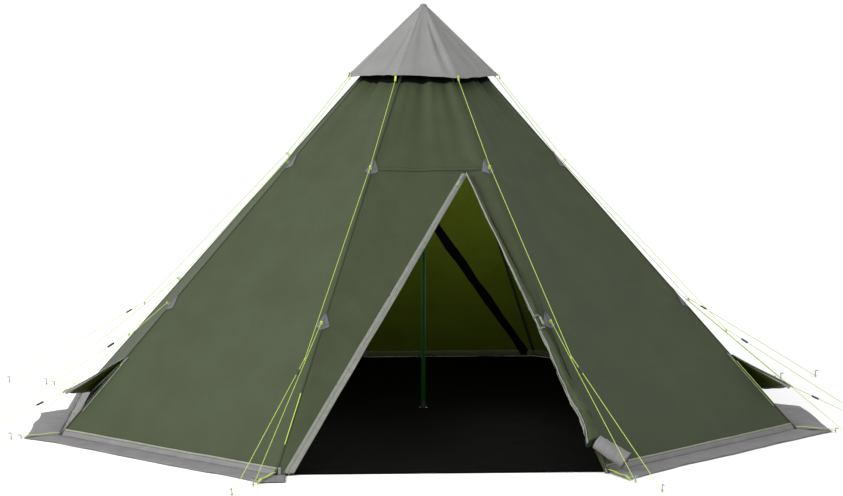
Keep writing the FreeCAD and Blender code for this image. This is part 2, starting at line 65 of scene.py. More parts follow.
tent = {
    "sides": 8,
    "acrossFlats": 4.34,
    "wallApex": 2.495,      # where the eight walls would meet
    "throatZ": 2.14,        # top of the wall cloth
    "meshTopZ": 2.425,
    "groundGap": 0.001,
    "clothThick": 0.0012,
}
front, right, back, left = 0, 2, 4, 6
cornerSides = (1, 3, 5, 7)
seamNames = ("FrontRight", "RightFront", "RightBack", "BackRight",
             "BackLeft", "LeftBack", "LeftFront", "FrontLeft")
nodeNames = ("front_right", "right_front", "right_back", "back_right",
             "back_left", "left_back", "left_front", "front_left")

halfSide = math.pi / tent["sides"]
apothem = tent["acrossFlats"] / 2
cornerRadius = apothem / math.cos(halfSide)
wallSlope = (tent["wallApex"], apothem / tent["wallApex"])
slantRatio = math.hypot(1.0, wallSlope[1])
up = Vector((0, 0, 1))


def halfWidth(z, slope=wallSlope):
    return slope[1] * (slope[0] - z) * math.tan(halfSide)


def turnZ(point, angle):
    c, s = math.cos(angle), math.sin(angle)
    return Vector((point[0] * c - point[1] * s, point[0] * s + point[1] * c, point[2]))


def onSide(side, u, z, out=0.0, slope=wallSlope):
    # a point of one wall: u across, z up, out along the wall's outward normal
    length = math.hypot(1.0, slope[1])
    y = -slope[1] * (slope[0] - z) - out / length
    return turnZ((u, y, z + out * slope[1] / length), side * 2 * halfSide)


def outOfSide(side, slope=wallSlope):
    return (onSide(side, 0, 0, 1.0, slope) - onSide(side, 0, 0, 0.0, slope)).normalized()


def seamAngle(seam):
    return -math.pi / 2 + (seam + 0.5) * 2 * halfSide


def onSeam(seam, rho, z, across=0.0):
    # a point in the upright plane of a seam, rho out from the pole
    return turnZ((rho, across, z), seamAngle(seam))


def seamRho(z):
    return cornerRadius * (1 - z / tent["wallApex"])


def softNoise(x, y, seed):
    return noise.noise(Vector((x, y, seed * 7.31 + 0.37)))


def smoothStep(low, high, x):
    t = min(1.0, max(0.0, (x - low) / (high - low)))
    return t * t * (3 - 2 * t)


# Camera: stands well back, a little left of the door's middle, with a long lens

cameraSetup = {"place": (-0.73, -15.48, 2.625), "aim": (0.0, 0.0, 1.0), "lens": 107.5, "shiftX": -0.0022}


def makeCamera():
    data = bpy.data.cameras.new("viewCamera")
    data.lens = cameraSetup["lens"]
    data.sensor_width = 36.0
    data.shift_x = cameraSetup["shiftX"]
    data.clip_end = 200.0
    camera = bpy.data.objects.new("viewCamera", data)
    bpy.context.scene.collection.objects.link(camera)
    camera.location = cameraSetup["place"]
    look = Vector(cameraSetup["aim"]) - camera.location
    camera.rotation_euler = look.to_track_quat("-Z", "Y").to_euler()
    bpy.context.scene.camera = camera


makeCamera()
print("camera made")


# Material helpers

def linearColour(hexText):
    channels = []
    for start in (1, 3, 5):
        c = int(hexText[start:start + 2], 16) / 255
        channels.append(c / 12.92 if c <= 0.04045 else ((c + 0.055) / 1.055) ** 2.4)
    return (*channels, 1.0)


def addNode(tree, kind, settings=None, inputs=None):
    # adds a node; a socket given as an input is linked, anything else is set on it
    node = tree.nodes.new(kind)
    for key, value in (settings or {}).items():
        setattr(node, key, value)
    for key, value in (inputs or {}).items():
        if isinstance(value, bpy.types.NodeSocket):
            tree.links.new(value, node.inputs[key])
        else:
            node.inputs[key].default_value = value
    return node


def bandScale(periodMm):
    # a Wave texture repeats every 2 pi / (20 scale) of its coordinate, here in metres
    return 2 * math.pi / (20 * periodMm / 1000)


def wovenMaterial(name, look):
    # warp and weft ribs on the cut's own flat coordinates, slubs, soft mottling, and painted shade darkening the
    # gaps between the threads
    material = bpy.data.materials.new(name)
    material.use_nodes = True
    tree = material.node_tree
    tree.nodes.clear()
    place = addNode(tree, "ShaderNodeTexCoord").outputs[look.get("coords", "UV")]
    objectPlace = addNode(tree, "ShaderNodeTexCoord").outputs["Object"]
    scale = bandScale(look["threadMm"])
    warp = addNode(tree, "ShaderNodeTexWave", {"bands_direction": "X"},
                   {"Vector": place, "Scale": scale, "Distortion": 0.5, "Detail": 1.0})
    weft = addNode(tree, "ShaderNodeTexWave", {"bands_direction": "Y"},
                   {"Vector": place, "Scale": scale, "Distortion": 0.5, "Detail": 1.0})
    weave = addNode(tree, "ShaderNodeMath", {"operation": "MULTIPLY"},
                    {0: warp.outputs["Fac"], 1: weft.outputs["Fac"]})
    stretch = addNode(tree, "ShaderNodeMapping", {}, {"Vector": place, "Scale": (1.0, 0.08, 1.0)})
    slub = addNode(tree, "ShaderNodeTexNoise", {},
                   {"Vector": stretch.outputs[0], "Scale": 1000 / look["slubMm"], "Detail": 2.0})
    mottle = addNode(tree, "ShaderNodeTexNoise", {},
                     {"Vector": objectPlace, "Scale": 1000 / look["mottleMm"], "Detail": 4.0,
                      "Roughness": 0.6})
    spread = addNode(tree, "ShaderNodeMapRange", {},
                     {"Value": mottle.outputs[0], "From Min": 0.3, "From Max": 0.7})
    tone = addNode(tree, "ShaderNodeMix", {"data_type": "RGBA"},
                   {0: spread.outputs[0], 6: linearColour(look["colour"]), 7: linearColour(look["colour2"])})
    slubShare = addNode(tree, "ShaderNodeMapRange", {},
                        {"Value": slub.outputs[0], "From Min": 0.35, "From Max": 0.75,
                         "To Max": look.get("slubShare", 0.35)})
    slubbed = addNode(tree, "ShaderNodeMix", {"data_type": "RGBA"},
                      {0: slubShare.outputs[0], 6: tone.outputs[2], 7: linearColour(look["slubColour"])})
    # painted shade: the colour darkens in the gaps between the threads
    gapShadeShare = addNode(tree, "ShaderNodeMapRange", {},
                       {"Value": weave.outputs[0], "From Max": 0.35, "To Min": look.get("gapShadeShare", 0.3),
                        "To Max": 0.0})
    colour = addNode(tree, "ShaderNodeMix", {"data_type": "RGBA"},
                     {0: gapShadeShare.outputs[0], 6: slubbed.outputs[2], 7: linearColour(look["gapShadeColour"])})
    relief = addNode(tree, "ShaderNodeMath", {"operation": "MULTIPLY_ADD"},
                     {0: slub.outputs[0], 1: 0.6, 2: weave.outputs[0]})
    bump = addNode(tree, "ShaderNodeBump", {},
                   {"Height": relief.outputs[0], "Distance": look["reliefMm"] / 1000,
                    "Strength": look.get("reliefStrength", 0.5)})
    rough = addNode(tree, "ShaderNodeMapRange", {},
                    {"Value": mottle.outputs[0], "To Min": look["roughness"] - 0.07,
                     "To Max": look["roughness"] + 0.07})
    shader = addNode(tree, "ShaderNodeBsdfPrincipled", {},
                     {"Base Color": colour.outputs[2], "Roughness": rough.outputs[0],
                      "Normal": bump.outputs[0], "Specular IOR Level": look.get("gloss", 0.4),
                      "Alpha": look.get("alpha", 1.0)})
    addNode(tree, "ShaderNodeOutputMaterial", {}, {"Surface": shader.outputs[0]})
    return material


def solidMaterial(name, look):
    # moulded, painted or drawn pieces: fine grain, slow colour drift, and roughness that follows the grain
    material = bpy.data.materials.new(name)
    material.use_nodes = True
    tree = material.node_tree
    tree.nodes.clear()
    place = addNode(tree, "ShaderNodeTexCoord").outputs["Object"]
    stretch = addNode(tree, "ShaderNodeMapping", {}, {"Vector": place, "Scale": look.get("grainShape", (1, 1, 1))})
    grain = addNode(tree, "ShaderNodeTexNoise", {},
                    {"Vector": stretch.outputs[0], "Scale": 1000 / look["grainMm"], "Detail": 3.0})
    drift = addNode(tree, "ShaderNodeTexNoise", {},
                    {"Vector": place, "Scale": 1000 / look["driftMm"], "Detail": 4.0})
    spread = addNode(tree, "ShaderNodeMapRange", {},
                     {"Value": drift.outputs[0], "From Min": 0.35, "From Max": 0.65})
    tone = addNode(tree, "ShaderNodeMix", {"data_type": "RGBA"},
                   {0: spread.outputs[0], 6: linearColour(look["colour"]), 7: linearColour(look["colour2"])})
    rough = addNode(tree, "ShaderNodeMapRange", {},
                    {"Value": grain.outputs[0], "To Min": look["roughness"] - 0.08,
                     "To Max": look["roughness"] + 0.08})
    bump = addNode(tree, "ShaderNodeBump", {},
                   {"Height": grain.outputs[0], "Distance": look["reliefMm"] / 1000, "Strength": 0.4})
    shader = addNode(tree, "ShaderNodeBsdfPrincipled", {},
                     {"Base Color": tone.outputs[2], "Roughness": rough.outputs[0],
                      "Metallic": look.get("metallic", 0.0), "Normal": bump.outputs[0],
                      "Specular IOR Level": look.get("gloss", 0.5),
                      "Coat Weight": look.get("coat", 0.0), "Coat Roughness": 0.12})
    addNode(tree, "ShaderNodeOutputMaterial", {}, {"Surface": shader.outputs[0]})
    return material


def cordMaterial(name, look, lengthM):
    # braided polyester line: two sets of strands cross round it, on the curve's own length and girth, with painted
    # shade darkening the hollows between the strands
    material = bpy.data.materials.new(name)
    material.use_nodes = True
    tree = material.node_tree
    tree.nodes.clear()
    place = addNode(tree, "ShaderNodeTexCoord").outputs["UV"]
    repeats = lengthM * 1000 / look["braidMm"]
    strands = []
    for lean in (1.0, -1.0):
        laid = addNode(tree, "ShaderNodeMapping", {},
                       {"Vector": place, "Scale": (repeats, lean * 2.0, 1.0)})
        joined = addNode(tree, "ShaderNodeSeparateXYZ", {}, {0: laid.outputs[0]})
        total = addNode(tree, "ShaderNodeMath", {"operation": "ADD"},
                        {0: joined.outputs[0], 1: joined.outputs[1]})
        turned = addNode(tree, "ShaderNodeMath", {"operation": "MULTIPLY"}, {0: total.outputs[0], 1: 2 * math.pi})
        strands.append(addNode(tree, "ShaderNodeMath", {"operation": "SINE"}, {0: turned.outputs[0]}))
    braid = addNode(tree, "ShaderNodeMath", {"operation": "MAXIMUM"},
                    {0: strands[0].outputs[0], 1: strands[1].outputs[0]})
    share = addNode(tree, "ShaderNodeMapRange", {},
                    {"Value": braid.outputs[0], "From Min": -0.6, "From Max": 0.7})
    # painted shade: the braid darkens between the strands
    colour = addNode(tree, "ShaderNodeMix", {"data_type": "RGBA"},
                     {0: share.outputs[0], 6: linearColour(look["gapShadeColour"]), 7: linearColour(look["colour"])})
    bump = addNode(tree, "ShaderNodeBump", {},
                   {"Height": braid.outputs[0], "Distance": look["reliefMm"] / 1000, "Strength": 0.6})
    shader = addNode(tree, "ShaderNodeBsdfPrincipled", {},
                     {"Base Color": colour.outputs[2], "Roughness": look["roughness"],
                      "Normal": bump.outputs[0], "Sheen Weight": 0.2})
    addNode(tree, "ShaderNodeOutputMaterial", {}, {"Surface": shader.outputs[0]})
    return material


# Materials

# Polyester taffeta with a polyurethane coating: a flat, slightly dusty green, threads 0.4 mm apart
# drawn at 2.4 mm so that they show, and a soft gloss
outerCloth = wovenMaterial("coatedPolyesterOuter", {
    "colour": "#343c26", "colour2": "#3c452d", "slubColour": "#2e3721", "gapShadeColour": "#252c1a",
    "threadMm": 2.4, "slubMm": 7.0, "mottleMm": 260.0, "reliefMm": 0.25, "roughness": 0.66, "gloss": 0.28})
# The coated inner face: smoother, and olive because daylight comes through the cloth
innerCloth = wovenMaterial("coatedPolyesterInner", {
    "colour": "#606f17", "colour2": "#6a7a1e", "slubColour": "#536112", "gapShadeColour": "#434f0e",
    "threadMm": 2.4, "slubMm": 7.0, "mottleMm": 220.0, "reliefMm": 0.15, "roughness": 0.6, "gloss": 0.15})
# Heavier grey polyester of the cap, stiff, with a dry matt face
capCloth = wovenMaterial("greyCanopyPolyester", {
    "colour": "#7b7b7a", "colour2": "#848483", "slubColour": "#707070", "gapShadeColour": "#616162",
    "threadMm": 2.8, "slubMm": 8.0, "mottleMm": 150.0, "reliefMm": 0.3, "roughness": 0.7, "gloss": 0.3})
# The underside of the cap, in shade and slightly bluer
capInner = wovenMaterial("greyCanopyUnderside", {
    "colour": "#35363a", "colour2": "#3e3f43", "slubColour": "#2d2e31", "gapShadeColour": "#262729",
    "threadMm": 2.8, "slubMm": 8.0, "mottleMm": 150.0, "reliefMm": 0.3, "roughness": 0.7})
# Woven polypropylene strip along the ground, matt and crumpled, marked by the grass
skirtCloth = wovenMaterial("greySodCloth", {
    "colour": "#737172", "colour2": "#828181", "slubColour": "#656364", "gapShadeColour": "#565455",
    "threadMm": 3.4, "slubMm": 9.0, "mottleMm": 90.0, "reliefMm": 0.4, "roughness": 0.74,
    "slubShare": 0.5, "gloss": 0.3})
# Folded polyester binding, the same grey one step lighter
bindingTape = wovenMaterial("greyBindingTape", {
    "colour": "#8b8c89", "colour2": "#979894", "slubColour": "#7d7e7b", "gapShadeColour": "#6d6e6b",
    "threadMm": 2.2, "slubMm": 6.0, "mottleMm": 60.0, "reliefMm": 0.35, "roughness": 0.7, "gloss": 0.3})
# The wall's own cloth folded at the foot, paler along the fold
hemFold = wovenMaterial("polyesterHemFold", {
    "colour": "#7f8472", "colour2": "#949886", "slubColour": "#6a6f5d", "gapShadeColour": "#5b604f",
    "threadMm": 2.4, "slubMm": 7.0, "mottleMm": 50.0, "reliefMm": 0.3, "roughness": 0.68, "gloss": 0.3})
# Facing inside the foot of the walls: undyed polyester strip, grey-olive with dust
footFacingCloth = wovenMaterial("polyesterFootFacing", {
    "colour": "#6b6b50", "colour2": "#7b7a5e", "slubColour": "#5b5b43", "gapShadeColour": "#4c4c38",
    "threadMm": 2.2, "slubMm": 6.0, "mottleMm": 60.0, "reliefMm": 0.3, "roughness": 0.7, "gloss": 0.25})
# Flat-felled seam: four layers of the wall cloth, a little darker along the ridge
seamCloth = wovenMaterial("feltedSeamPolyester", {
    "colour": "#313a24", "colour2": "#39422b", "slubColour": "#2a321f", "gapShadeColour": "#222a18",
    "threadMm": 2.2, "slubMm": 6.0, "mottleMm": 70.0, "reliefMm": 0.35, "roughness": 0.68, "gloss": 0.25})
# Polyethylene tarpaulin underfoot: near black, dull with dust, with tape-woven ribs
groundCloth = wovenMaterial("polyethyleneGroundsheet", {
    "colour": "#050604", "colour2": "#070806", "slubColour": "#090a07", "gapShadeColour": "#020302",
    "threadMm": 5.0, "slubMm": 12.0, "mottleMm": 140.0, "reliefMm": 0.3, "roughness": 0.85, "gloss": 0.02})
# Insect mesh: black knitted net, so fine that it only greys what is behind it
insectMesh = wovenMaterial("insectNet", {
    "colour": "#161815", "colour2": "#1e211c", "slubColour": "#2a2d27", "gapShadeColour": "#050505",
    "threadMm": 3.0, "slubMm": 6.0, "mottleMm": 80.0, "reliefMm": 0.3, "roughness": 0.8,
    "gapShadeShare": 0.8, "alpha": 0.82})
# Black polyester of the storm flap behind the zip; the same black is also used as painted shade, for the band under
# the cap's rim and the line under the vent flaps' edges
stormAndShadeCloth = wovenMaterial("blackStormClothAndShade", {
    "colour": "#050505", "colour2": "#090a08", "slubColour": "#0c0d0b", "gapShadeColour": "#030303",
    "threadMm": 2.4, "slubMm": 7.0, "mottleMm": 60.0, "reliefMm": 0.3, "roughness": 0.75, "gloss": 0.06})
# Zip tape: a dense grey herringbone
zipTape = wovenMaterial("herringboneZipTape", {
    "colour": "#777a72", "colour2": "#878a81", "slubColour": "#696b64", "gapShadeColour": "#595b55",
    "threadMm": 1.8, "slubMm": 5.0, "mottleMm": 40.0, "reliefMm": 0.3, "roughness": 0.7, "gloss": 0.3})
# The vents' zip tape, dyed to match the walls
ventZipTape = wovenMaterial("greenZipTape", {
    "colour": "#3a4230", "colour2": "#454d39", "slubColour": "#333a2a", "gapShadeColour": "#2a3022",
    "threadMm": 1.8, "slubMm": 5.0, "mottleMm": 40.0, "reliefMm": 0.3, "roughness": 0.7, "gloss": 0.25})
# Reinforcing patches: a closer nylon with a violet-grey cast
patchCloth = wovenMaterial("nylonPatchCloth", {
    "colour": "#5c5b64", "colour2": "#68676f", "slubColour": "#504f57", "gapShadeColour": "#42414a",
    "threadMm": 1.8, "slubMm": 5.0, "mottleMm": 40.0, "reliefMm": 0.35, "roughness": 0.65, "gloss": 0.3})
# Polypropylene webbing: ribbed, slightly shiny, yellow-green
limeWebbing = wovenMaterial("limePolypropyleneWebbing", {
    "colour": "#a9c83a", "colour2": "#b9d84b", "slubColour": "#93b02c", "gapShadeColour": "#748c20",
    "threadMm": 1.5, "slubMm": 4.0, "mottleMm": 30.0, "reliefMm": 0.35, "roughness": 0.5})
# Ties: the walls' thread woven as a narrow tape, sun-bleached
tieTape = wovenMaterial("bleachedTieTape", {
    "colour": "#5d6752", "colour2": "#69735d", "slubColour": "#525b48", "gapShadeColour": "#434b3a",
    "threadMm": 1.5, "slubMm": 4.0, "mottleMm": 30.0, "reliefMm": 0.3, "roughness": 0.7, "gloss": 0.25})
# Nylon coil zip: moulded, a little translucent, grey
zipCoil = solidMaterial("nylonZipCoil", {
    "colour": "#7b7d79", "colour2": "#878a85", "grainMm": 1.2, "driftMm": 25.0, "reliefMm": 0.05,
    "roughness": 0.4})
# Bonded polyester sewing thread, in the cloth's own green and in the cap's grey
greenThread = solidMaterial("greenSewingThread", {
    "colour": "#2f3a26", "colour2": "#39442f", "grainMm": 1.0, "driftMm": 30.0, "reliefMm": 0.08,
    "roughness": 0.55})
greyThread = solidMaterial("greySewingThread", {
    "colour": "#9c9c99", "colour2": "#90908d", "grainMm": 1.0, "driftMm": 30.0, "reliefMm": 0.08,
    "roughness": 0.55})
# Die-cast zinc slider with a dull nickel plate
zipMetal = solidMaterial("nickelledZinc", {
    "colour": "#8d8f91", "colour2": "#a0a2a4", "grainMm": 1.5, "driftMm": 12.0, "reliefMm": 0.05,
    "roughness": 0.38, "metallic": 1.0})
# Steel tube under a satin green stoving enamel, with the slight orange peel of a sprayed coat
poleEnamel = solidMaterial("greenStovingEnamel", {
    "colour": "#043a07", "colour2": "#05430a", "grainMm": 3.0, "driftMm": 90.0, "reliefMm": 0.08,
    "roughness": 0.5, "gloss": 0.15})
# Moulded polypropylene of the pole's foot and crown, with a fine spark-eroded grain
polePlastic = solidMaterial("blackPolypropylene", {
    "colour": "#131413", "colour2": "#1b1c1b", "grainMm": 1.4, "driftMm": 30.0, "reliefMm": 0.12,
    "roughness": 0.55})
# Runners: moulded acetal, dark and slightly waxy
runnerPlastic = solidMaterial("darkAcetal", {
    "colour": "#23262a", "colour2": "#2c3034", "grainMm": 1.2, "driftMm": 15.0, "reliefMm": 0.06,
    "roughness": 0.42})
# Toggles of the ties: moulded polypropylene in a pale grey-green, rubbed matt
togglePlastic = solidMaterial("greyGreenPolypropylene", {
    "colour": "#717b68", "colour2": "#7c8672", "grainMm": 1.2, "driftMm": 15.0, "reliefMm": 0.08,
    "roughness": 0.5})
# Pegs: drawn steel rod, hot-dip galvanised, dull with grey spangle
pegSteel = solidMaterial("galvanisedSteelRod", {
    "colour": "#8f9294", "colour2": "#a6a9ab", "grainMm": 2.5, "driftMm": 9.0, "reliefMm": 0.08,
    "roughness": 0.42, "metallic": 1.0})
cordLook = {"colour": "#b4d348", "gapShadeColour": "#7f9a2c", "braidMm": 4.5, "reliefMm": 0.25, "roughness": 0.55}
print("materials made")


# Mesh helpers

def linkPiece(name, mesh):
    piece = bpy.data.objects.new(name, mesh)
    bpy.context.scene.collection.objects.link(piece)
    return piece


def meshPiece(name, points, faces, materials, uvs=None, smooth=True):
    mesh = bpy.data.meshes.new(name)
    mesh.from_pydata([tuple(p) for p in points], [], faces)
    for material in materials:
        mesh.materials.append(material)
    if uvs:
        layer = mesh.uv_layers.new(name="UVMap")
        for loop in mesh.loops:
            layer.data[loop.index].uv = uvs[loop.vertex_index]
    mesh.polygons.foreach_set("use_smooth", [smooth] * len(mesh.polygons))
    mesh.update()
    return linkPiece(name, mesh)


def gridFaces(columns, rows, start=0, closed=False):
    faces = []
    wide = columns if closed else columns + 1
    for r in range(rows):
        for c in range(columns):
            a = start + r * wide + c
            b = start + r * wide + (c + 1) % wide
            faces.append((a, b, b + wide, a + wide))
    return faces


def gridSheet(name, columns, rows, place, materials, thick, closed=False):
    # cloth as a grid: place(s, t) gives a point and its flat coordinates, s across and t up
    points, uvs = [], []
    for r in range(rows + 1):
        for c in range(columns if closed else columns + 1):
            point, flat = place(c / columns, r / rows)
            points.append(point)
            uvs.append(flat)
    piece = meshPiece(name, points, gridFaces(columns, rows, 0, closed), materials, uvs)
    addThickness(piece, thick, 1 if len(materials) > 1 else 0)
    return piece


def addThickness(piece, thick, innerSlot=0):
    solid = piece.modifiers.new("clothThickness", "SOLIDIFY")
    solid.thickness = thick
    solid.offset = -1.0
    solid.material_offset = innerSlot


def settle(piece, name):
    # the evaluated result as a plain mesh at the origin
    graph = bpy.context.evaluated_depsgraph_get()
    mesh = bpy.data.meshes.new_from_object(piece.evaluated_get(graph))
    mesh.name = name
    mesh.transform(piece.matrix_world)
    bpy.data.objects.remove(piece)
    return linkPiece(name, mesh)


def joinPieces(name, pieces):
    # several finished meshes as one, their materials kept
    mesh = bpy.data.meshes.new(name)
    builder = bmesh.new()
    for piece in pieces:
        settled = piece.data
        slots = []
        for material in settled.materials:
            if material.name not in mesh.materials:
                mesh.materials.append(material)
            slots.append(list(mesh.materials).index(material))
        first = len(builder.faces)
        builder.from_mesh(settled)
        builder.faces.ensure_lookup_table()
        for face in builder.faces[first:]:
            face.material_index = slots[face.material_index] if slots else 0
    builder.to_mesh(mesh)
    builder.free()
    for piece in pieces:
        bpy.data.objects.remove(piece)
    return linkPiece(name, mesh)


def tubePiece(name, points, radius, material, closed=False, order=3, sides=3, steps=6):
    # a round rod or cord along given points, as a closed mesh
    data = bpy.data.curves.new(name, "CURVE")
    data.dimensions = "3D"
    data.bevel_depth = radius
    data.bevel_resolution = sides
    data.use_fill_caps = not closed
    spline = data.splines.new("NURBS" if order else "POLY")
    spline.points.add(len(points) - 1)
    for control, point in zip(spline.points, points):
        control.co = (*point, 1.0)
    spline.use_cyclic_u = closed
    if order:
        spline.order_u = order
        spline.use_endpoint_u = not closed
        spline.resolution_u = steps
    data.materials.append(material)
    piece = settle(linkPiece(name, data), name)
    piece.data.polygons.foreach_set("use_smooth", [True] * len(piece.data.polygons))
    return piece


def rightWayOut(piece):
    builder = bmesh.new()
    builder.from_mesh(piece.data)
    bmesh.ops.remove_doubles(builder, verts=builder.verts, dist=1e-6)
    bmesh.ops.recalc_face_normals(builder, faces=builder.faces)
    builder.to_mesh(piece.data)
    builder.free()
    return piece


def bevelBox(name, size, radius, material, segments=2):
    builder = bmesh.new()
    bmesh.ops.create_cube(builder, size=1.0)
    bmesh.ops.scale(builder, vec=size, verts=builder.verts)
    bmesh.ops.bevel(builder, geom=builder.edges[:], offset=radius, segments=segments, affect="EDGES",
                    profile=0.5)
    mesh = bpy.data.meshes.new(name)
    builder.to_mesh(mesh)
    builder.free()
    mesh.materials.append(material)
    mesh.polygons.foreach_set("use_smooth", [True] * len(mesh.polygons))
    return linkPiece(name, mesh)


def roundPlate(name, length, width, thick, holes, edge, material):
    # a flat plate with round ends, through holes given as (place along, radius along, radius across)
    data = bpy.data.curves.new(name, "CURVE")
    data.dimensions = "2D"
    data.fill_mode = "BOTH"
    data.extrude = thick / 2 - edge
    data.bevel_depth = edge
    data.bevel_resolution = 1
    outlines = [(0.0, length / 2, width / 2, 4.0)] + [(*hole, 2.0) for hole in holes]
    for centre, alongRadius, acrossRadius, power in outlines:
        spline = data.splines.new("POLY")
        count = 40 if power > 2 else 18
        spline.points.add(count - 1)
        shrink = edge if power > 2 else -edge
        for i, control in enumerate(spline.points):
            a = 2 * math.pi * i / count
            c, s = math.cos(a), math.sin(a)
            x = math.copysign(abs(c) ** (2 / power), c) * (alongRadius - shrink)
            y = math.copysign(abs(s) ** (2 / power), s) * (acrossRadius - shrink)
            control.co = (centre + x, y, 0.0, 1.0)
        spline.use_cyclic_u = True
    data.materials.append(material)
    return rightWayOut(settle(linkPiece(name, data), name))


def placeAlong(piece, centre, direction, out):
    # lays a piece made at the origin with its X along direction and its Z outwards
    x = direction.normalized()
    z = (out - x * out.dot(x)).normalized()
    y = z.cross(x)
    matrix = Matrix((x, y, z)).transposed().to_4x4()
    matrix.translation = centre
    piece.data.transform(matrix)
    return piece


# Geometry Nodes that put a small piece at even steps along stitch lines

def makeStepTree(name, shape):
    tree = bpy.data.node_groups.new(name, "GeometryNodeTree")
    face = tree.interface
    face.new_socket(name="Geometry", in_out="INPUT", socket_type="NodeSocketGeometry")
    for label in ("Pitch", "Length", "Width", "Height"):
        face.new_socket(name=label, in_out="INPUT", socket_type="NodeSocketFloat")
    face.new_socket(name="Seed", in_out="INPUT", socket_type="NodeSocketInt")
    face.new_socket(name="Material", in_out="INPUT", socket_type="NodeSocketMaterial")
    face.new_socket(name="Geometry", in_out="OUTPUT", socket_type="NodeSocketGeometry")
    given = addNode(tree, "NodeGroupInput")
    steps = addNode(tree, "GeometryNodeResampleCurve", {"mode": "LENGTH"},
                    {"Curve": given.outputs["Geometry"], "Length": given.outputs["Pitch"]})
    tangent = addNode(tree, "GeometryNodeInputTangent")
    turn = addNode(tree, "FunctionNodeAlignRotationToVector", {"axis": "Z"},
                   {"Vector": tangent.outputs[0]})
    jitter = addNode(tree, "FunctionNodeRandomValue", {"data_type": "FLOAT"},
                     {2: 0.9, 3: 1.08, "Seed": given.outputs["Seed"]})
    if shape == "stitch":
        # a stitch is a short round bar of six sides
        small = addNode(tree, "GeometryNodeMeshCylinder", {},
                        {"Vertices": 6, "Radius": given.outputs["Width"], "Depth": given.outputs["Length"]})
        made = small.outputs["Mesh"]
    else:
        size = addNode(tree, "ShaderNodeCombineXYZ", {},
                       {0: given.outputs["Width"], 1: given.outputs["Height"], 2: given.outputs["Length"]})
        made = addNode(tree, "GeometryNodeMeshCube", {}, {"Size": size.outputs[0]}).outputs["Mesh"]
    placed = addNode(tree, "GeometryNodeInstanceOnPoints", {},
                     {"Points": steps.outputs[0], "Instance": made, "Rotation": turn.outputs[0],
                      "Scale": jitter.outputs[1]})
    real = addNode(tree, "GeometryNodeRealizeInstances", {}, {0: placed.outputs[0]})
    painted = addNode(tree, "GeometryNodeSetMaterial", {},
                      {"Geometry": real.outputs[0], "Material": given.outputs["Material"]})
    addNode(tree, "NodeGroupOutput", {}, {0: painted.outputs[0]})
    return tree


stitchTree = makeStepTree("stitchesAlongLine", "stitch")
teethTree = makeStepTree("teethAlongLine", "tooth")


def setTreeInputs(modifier, tree, values):
    for item in tree.interface.items_tree:
        if item.item_type == "SOCKET" and item.in_out == "INPUT" and item.name in values:
            modifier[item.identifier] = values[item.name]


def stepPiece(name, lines, tree, values):
    data = bpy.data.curves.new(name, "CURVE")
    data.dimensions = "3D"
    for line in lines:
        spline = data.splines.new("POLY")
        spline.points.add(len(line) - 1)
        for control, point in zip(spline.points, line):
            control.co = (*point, 1.0)
    source = linkPiece(name + "Lines", data)
    modifier = source.modifiers.new("steps", "NODES")
    modifier.node_group = tree
    setTreeInputs(modifier, tree, values)
    return settle(source, name)


stitch = {"Pitch": 0.010, "Length": 0.0075, "Width": 0.0006, "Height": 0.0006, "Seed": 3}


def stitchPiece(name, lines, thread, body="tent"):
    piece = stepPiece(name, lines, stitchTree, {**stitch, "Material": thread})
    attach(piece, body)
    return piece


# Guy lines first: their points are the frame's own route, with one more near each loop, knot and peg

guyLine = {
    "diameter": 0.0035,
    "upperRoute": ((0.4931, 2.0550), (0.5068, 2.0391), (0.8963, 1.5851), (0.9100, 1.5692), (0.9250, 1.5545),
                   (1.9000, 0.5978), (1.9150, 0.5831), (1.9332, 0.5726), (2.8887, 0.0205), (2.9069, 0.0100)),
    "upperLength": 3.195,
    "lowerRoute": ((1.6743, 0.7515), (1.6909, 0.7387), (2.6153, 0.0228), (2.6319, 0.0100)),
    "lowerLength": 1.212,
    "ventRoute": ((2.15005, -0.83487, 0.25059), (2.16809, -0.84083, 0.24240),
                  (2.65760, -1.00260, 0.02017), (2.67564, -1.00856, 0.01198)),
    "ventLength": 0.603,
    "farPeg": 2.912,
    "nearPeg": 2.637,
    "hemPeg": 2.578,
    "ventPeg": (2.680, -1.010),
}


def routeCurve(name, points, radius, material):
    data = bpy.data.curves.new(name, "CURVE")
    data.dimensions = "3D"
    data.bevel_depth = radius
    data.bevel_resolution = 2
    data.use_fill_caps = True
    data.resolution_u = 8
    spline = data.splines.new("NURBS")
    spline.points.add(len(points) - 1)
    for control, point in zip(spline.points, points):
        control.co = (*point, 1.0)
    spline.order_u = 3
    spline.use_endpoint_u = True
    spline.resolution_u = 8
    if material:
        data.materials.append(material)
    return linkPiece(name, data)


def knotPiece(name, places, material):
    # small overhand knots: a ball of three crossing turns at each place
    parts = []
    for index, (centre, direction, size) in enumerate(places):
        side = direction.cross(up).normalized()
        lift = side.cross(direction).normalized()
        points = []
        for i in range(18):
            a = 2 * math.pi * i / 18
            swing = math.sin(1.5 * a)
            points.append(centre + (side * math.cos(a) + lift * math.sin(a)) * size * (0.8 + 0.2 * swing)
                          + direction * size * 0.9 * math.sin(2 * a))
        parts.append(tubePiece(name + str(index), points, guyLine["diameter"] / 2, material, closed=True))
    return joinPieces(name, parts)


def pegLoop(name, centre, material):
    # the eye of the line, dropped over a peg, lying just above the ground
    points = []
    for i in range(14):
        a = 2 * math.pi * i / 14
        points.append(centre + Vector((math.cos(a) * 0.0075, math.sin(a) * 0.0075, 0.0012 * math.sin(a))))
    return tubePiece(name, points, guyLine["diameter"] / 2, material, closed=True)


